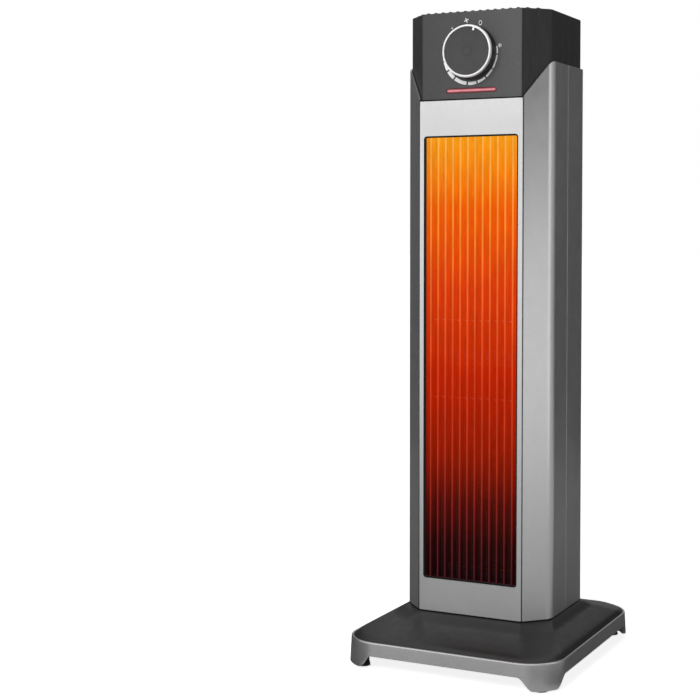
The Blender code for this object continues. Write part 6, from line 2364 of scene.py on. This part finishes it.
@dataclass
class Blower(Assembly):
    """Tangential wheel on its shaft, with its duct, motor and bearing."""

    title = "blower"
    x: float = 0.0
    y: float = 0.0200
    low: float = 0.0800
    high: float = 0.4935
    radius: float = 0.0262
    inner: float = 0.0185
    blades: int = 16
    blade_thickness: float = 0.0010
    hub_radius: float = 0.0065
    hub_height: float = 0.0120

    def blade(self) -> Shape:
        """One forward-curved blade the full height of the wheel.

        Returns:
            The shape.
        """
        blade = Shape()
        point = blade.mesh.verts.new((self.inner, 0, self.low + 1.2 * MM))
        reach = self.radius - self.inner
        centre, sweep = (self.inner + reach * 0.35, -reach * 0.95, 0), math.radians(-64)
        bmesh.ops.spin(blade.mesh, geom=[point], cent=centre, axis=(0, 0, 1), angle=sweep, steps=6)
        blade.pull(blade.mesh.edges[:], (0, 0, self.high - self.low - 2.4 * MM))
        return blade.healed().shell(self.blade_thickness)

    def wheel(self) -> Shape:
        """Blades between an end disc with a hub, a middle ring and a cap with a stub.

        Returns:
            The shape.
        """
        low, high, outer, hub = (size / MM for size in (self.low, self.high, self.radius, self.hub_radius))
        edge, step = outer + 0.6, low + self.hub_height / MM
        disc = [(2.9, low), (edge - 0.3, low), (edge, low + 0.3), (edge, low + 1.6), (hub, low + 1.6)]
        shape = Shape.turned(disc + [(hub, step - 0.5), (hub - 0.5, step), (2.9, step)], 64, closed=True)
        middle, inner = (low + high) / 2, self.inner / MM - 0.6
        ring = [(inner, middle), (edge, middle), (edge, middle + 1.6), (inner, middle + 1.6)]
        shape.add(Shape.turned(ring, 64, closed=True))
        cap = [(0, high - 1.6), (edge, high - 1.6), (edge, high - 0.3), (edge - 0.3, high), (4.5, high)]
        cap += [(4.5, high + 1), (2.5, high + 1), (2.5, high + 8.6), (2.1, high + 9), (0, high + 9)]
        shape.add(Shape.turned(cap, 64))
        blade = self.blade()
        for k in range(self.blades):
            shape.add(blade.copy().turn(360 * k / self.blades))
        return shape.moved(self.x, self.y)

    def pieces(self) -> Iterator[Piece]:
        """The wheel."""
        yield Piece("fan_wheel", self.wheel(), Finishes.wheel, "wheel_grey", ("blower_wheel",), Body.BLOWER)

    def kept(self) -> dict[str, Finish]:
        """Duct, motor, shaft and bearing.

        Returns:
            Finish of each kept node.
        """
        return {
            "air_duct": Finishes.duct,
            "fan_motor": Finishes.motor,
            "blower_shaft": Finishes.steel,
            "upper_bearing": Finishes.bronze,
        }


@dataclass
class Wiring(Assembly):
    """Terminal block, leads and the tip-over switch."""

    title = "wiring"
    tip_y: float = -0.0570
    foot_mm: float = 4.8
    stem_mm: float = 2.8
    top_mm: float = 24.0

    def plunger(self) -> Shape:
        """Plunger with a rounded foot, a waist and a chamfered tip.

        Returns:
            The shape.
        """
        foot, stem, top = self.foot_mm, self.stem_mm, self.top_mm
        profile = [(0, 0), (foot - 0.8, 0), (foot - 0.2, 0.25), (foot, 0.9), (foot, 2.6), (foot - 0.4, 3)]
        profile += [(stem + 0.3, 3), (stem, 3.4), (stem, top - 0.6), (stem - 0.6, top), (0, top)]
        return Shape.turned(profile, 48).moved(y=self.tip_y)

    def pieces(self) -> Iterator[Piece]:
        """The plunger."""
        shape, nodes = self.plunger(), ("tip_switch_plunger",)
        yield Piece("tip_plunger", shape, Finishes.wheel, "plunger_grey", nodes, Body.PLUNGER)

    def kept(self) -> dict[str, Finish]:
        """Block, leads and switch housing."""
        leads = {"control_lead_" + lead: Finishes.sleeve for lead in ("live", "neutral", "heater")}
        return {"terminal_block": Finishes.cream, "tip_switch_housing": Finishes.black, **leads}


@dataclass
class Lamp:
    """Soft rectangular studio lamp."""

    name: str
    azimuth: float
    elevation: float
    distance: float
    width: float
    height: float
    power: float
    aim: tuple[float, float, float] = (0.0, 0.0, 0.30)
    in_gloss: bool = True

    def place(self) -> Vector:
        """Where the lamp hangs.

        Returns:
            The place.
        """
        turn, lift = math.radians(self.azimuth), math.radians(self.elevation)
        level = self.distance * math.cos(lift)
        out = Vector((level * math.sin(turn), -level * math.cos(turn), self.distance * math.sin(lift)))
        return Vector(self.aim) + out

    def hang(self) -> None:
        """Hang the lamp and aim it."""
        light = bpy.data.lights.new(self.name, "AREA")
        light.shape = "RECTANGLE"
        light.size, light.size_y = self.width, self.height
        light.energy = self.power
        lamp = bpy.data.objects.new(self.name, light)
        lamp.location = self.place()
        lamp.rotation_euler = (Vector(self.aim) - lamp.location).to_track_quat("-Z", "Y").to_euler()
        lamp.visible_camera = False
        lamp.visible_glossy = self.in_gloss
        bpy.context.scene.collection.objects.link(lamp)


@dataclass
class Flag:
    """Card that only gloss sees, as in a studio tent."""

    name: str
    azimuth: float
    distance: float
    width: float
    low: float
    high: float
    low_tone: float
    high_tone: float
    lying: bool = False

    def material(self) -> bpy.types.Material:
        """The card's own brightness, graded from its lower to its upper edge.

        Returns:
            The material.
        """
        mix = Recipe(self.name)
        mix.give(Base_Color=(0.0, 0.0, 0.0), Specular_IOR_Level=0.0, Emission_Color=(1.0, 1.0, 1.0))
        place = mix.radius((0, 0, 0), (1, 1, 0)) if self.lying else mix.along("Z")
        tones = (self.low_tone, self.high_tone)
        mix.give(Emission_Strength=mix.remap(place, (self.low, self.high), tones))
        return mix.material

    def stand(self) -> None:
        """Stand the card up at its distance, or lay it that far above the floor."""
        card = Shape()
        bmesh.ops.create_grid(card.mesh, x_segments=1, y_segments=1, size=0.5)
        card.transform(Matrix.Diagonal((self.width, self.high - self.low, 1, 1)))
        middle = (self.low + self.high) / 2
        if self.lying:
            card.moved(0, -middle, self.distance)
        else:
            card.upright(Side.FRONT).moved(0, -self.distance, middle)
        card.turn(self.azimuth)
        stood = card.as_object(self.name)
        stood.data.materials.append(self.material())
        stood.visible_camera = stood.visible_diffuse = stood.visible_shadow = False
        stood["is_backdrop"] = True


@dataclass
class Studio:
    """Floor, lamps, surroundings and camera."""

    camera_place: tuple[float, float, float] = (0.5337, -1.3458, 0.4078)
    camera_turn: tuple[float, float, float] = (math.radians(87.96), 0.0, math.radians(27.105))
    lens: float = 76.94
    shift_y: float = -0.0970
    ambient: float = 0.12
    lamps: tuple[Lamp, ...] = (
        Lamp("key", -8, 30, 1.6, 1.2, 0.8, 18.0, in_gloss=False),
        Lamp("top", 20, 80, 1.6, 1.0, 1.0, 4.0, in_gloss=False),
    )
    flags: tuple[Flag, ...] = (
        Flag("card_front", -22, 1.20, 1.10, -0.05, 0.40, 0.72, 1.36),
        Flag("card_front_high", -22, 1.20, 1.10, 0.40, 0.95, 1.36, 1.12),
        Flag("card_right_low", 68, 1.25, 0.70, -0.05, 0.35, 1.02, 1.12),
        Flag("card_right_high", 68, 1.25, 0.70, 0.35, 0.63, 1.10, 0.05),
        Flag("card_right_top", 68, 1.25, 0.70, 0.63, 1.90, 0.05, 0.05),
        Flag("card_edge", 93, 1.25, 0.20, -0.05, 1.10, 1.7, 1.3),
        Flag("card_turn", 114, 1.25, 0.56, -0.05, 1.50, 0.50, 0.40),
        Flag("card_shade", 136, 1.25, 0.42, -0.05, 1.50, 0.20, 0.18),
        Flag("card_dark_right", 158, 1.25, 0.60, -0.05, 1.50, 0.03, 0.10),
        Flag("card_back", 196, 1.25, 1.15, -0.05, 1.50, 0.28, 0.80),
        Flag("card_dark_left", -112, 1.20, 1.90, -0.05, 0.85, 0.05, 0.05),
        Flag("card_left_top", -112, 1.20, 1.90, 0.85, 1.60, 0.40, 0.40),
        Flag("card_floor_front", 55, 0.001, 3.0, 0.0, 1.20, 0.36, 0.56, lying=True),
        Flag("card_floor_back", 235, 0.001, 3.0, 0.0, 1.20, 0.06, 0.12, lying=True),
        Flag("card_floor_side", 100, 0.002, 0.30, 0.10, 0.17, 0.07, 0.07, lying=True),
        Flag("card_floor_shade", 150, 0.0015, 0.34, 0.06, 0.70, 0.08, 0.12, lying=True),
        Flag("card_floor_corner", 50, 0.002, 0.17, 0.185, 0.26, 0.10, 0.10, lying=True),
    )

    def floor(self) -> None:
        """Pale floor that runs out past the frame."""
        ground = Shape()
        bmesh.ops.create_grid(ground.mesh, x_segments=2, y_segments=2, size=20.0)
        floor = ground.as_object("studio_floor")
        floor.data.materials.append(FloorBoard("studio_floor_board", (0.70, 0.70, 0.70), 0.9).material())
        floor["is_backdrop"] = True

    def surroundings(self) -> None:
        """White for camera, gloss and glass; a plain grey light for everything else."""
        world = bpy.data.worlds.new("studio_tent")
        bpy.context.scene.world = world
        graph = Graph(world)
        level = graph.remap(graph.seen(), (0, 1), (self.ambient, 1.0))
        sky = graph.node("ShaderNodeBackground", {"Color": (1.0, 1.0, 1.0), "Strength": level})
        graph.node("ShaderNodeOutputWorld", {"Surface": sky.outputs["Background"]})

    def camera(self) -> None:
        """Camera at the photograph's angle."""
        eye = bpy.data.cameras.new("camera")
        eye.lens, eye.sensor_width, eye.shift_y = self.lens, 36.0, self.shift_y
        eye.clip_start, eye.clip_end = 0.01, 100.0
        camera = bpy.data.objects.new("camera", eye)
        camera.location, camera.rotation_euler = self.camera_place, self.camera_turn
        bpy.context.scene.collection.objects.link(camera)
        bpy.context.scene.camera = camera

    def set_up(self) -> None:
        """Build the whole studio."""
        self.floor()
        self.surroundings()
        self.camera()
        for lamp in self.lamps:
            lamp.hang()
        for flag in self.flags:
            flag.stand()
        bpy.context.scene.view_settings.view_transform = "Standard"


def write_sizes() -> None:
    """Work out the CAD model's box and the visual model's box as plain lists."""
    boxes = {"cad": CAD_BOX, "visual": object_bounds()}
    plain = {name: [[float(value) for value in corner] for corner in box] for name, box in boxes.items()}


def main() -> None:
    """Build every sub-assembly, then the studio."""
    logging.basicConfig(level=logging.INFO, format="%(name)s %(message)s")
    for assembly in (Base(), Tower(), Head(), Dial(), Outlet(), Blower(), Wiring()):
        assembly.build()
    Studio().set_up()
    write_sizes()


if __name__ == "__main__":
    main()
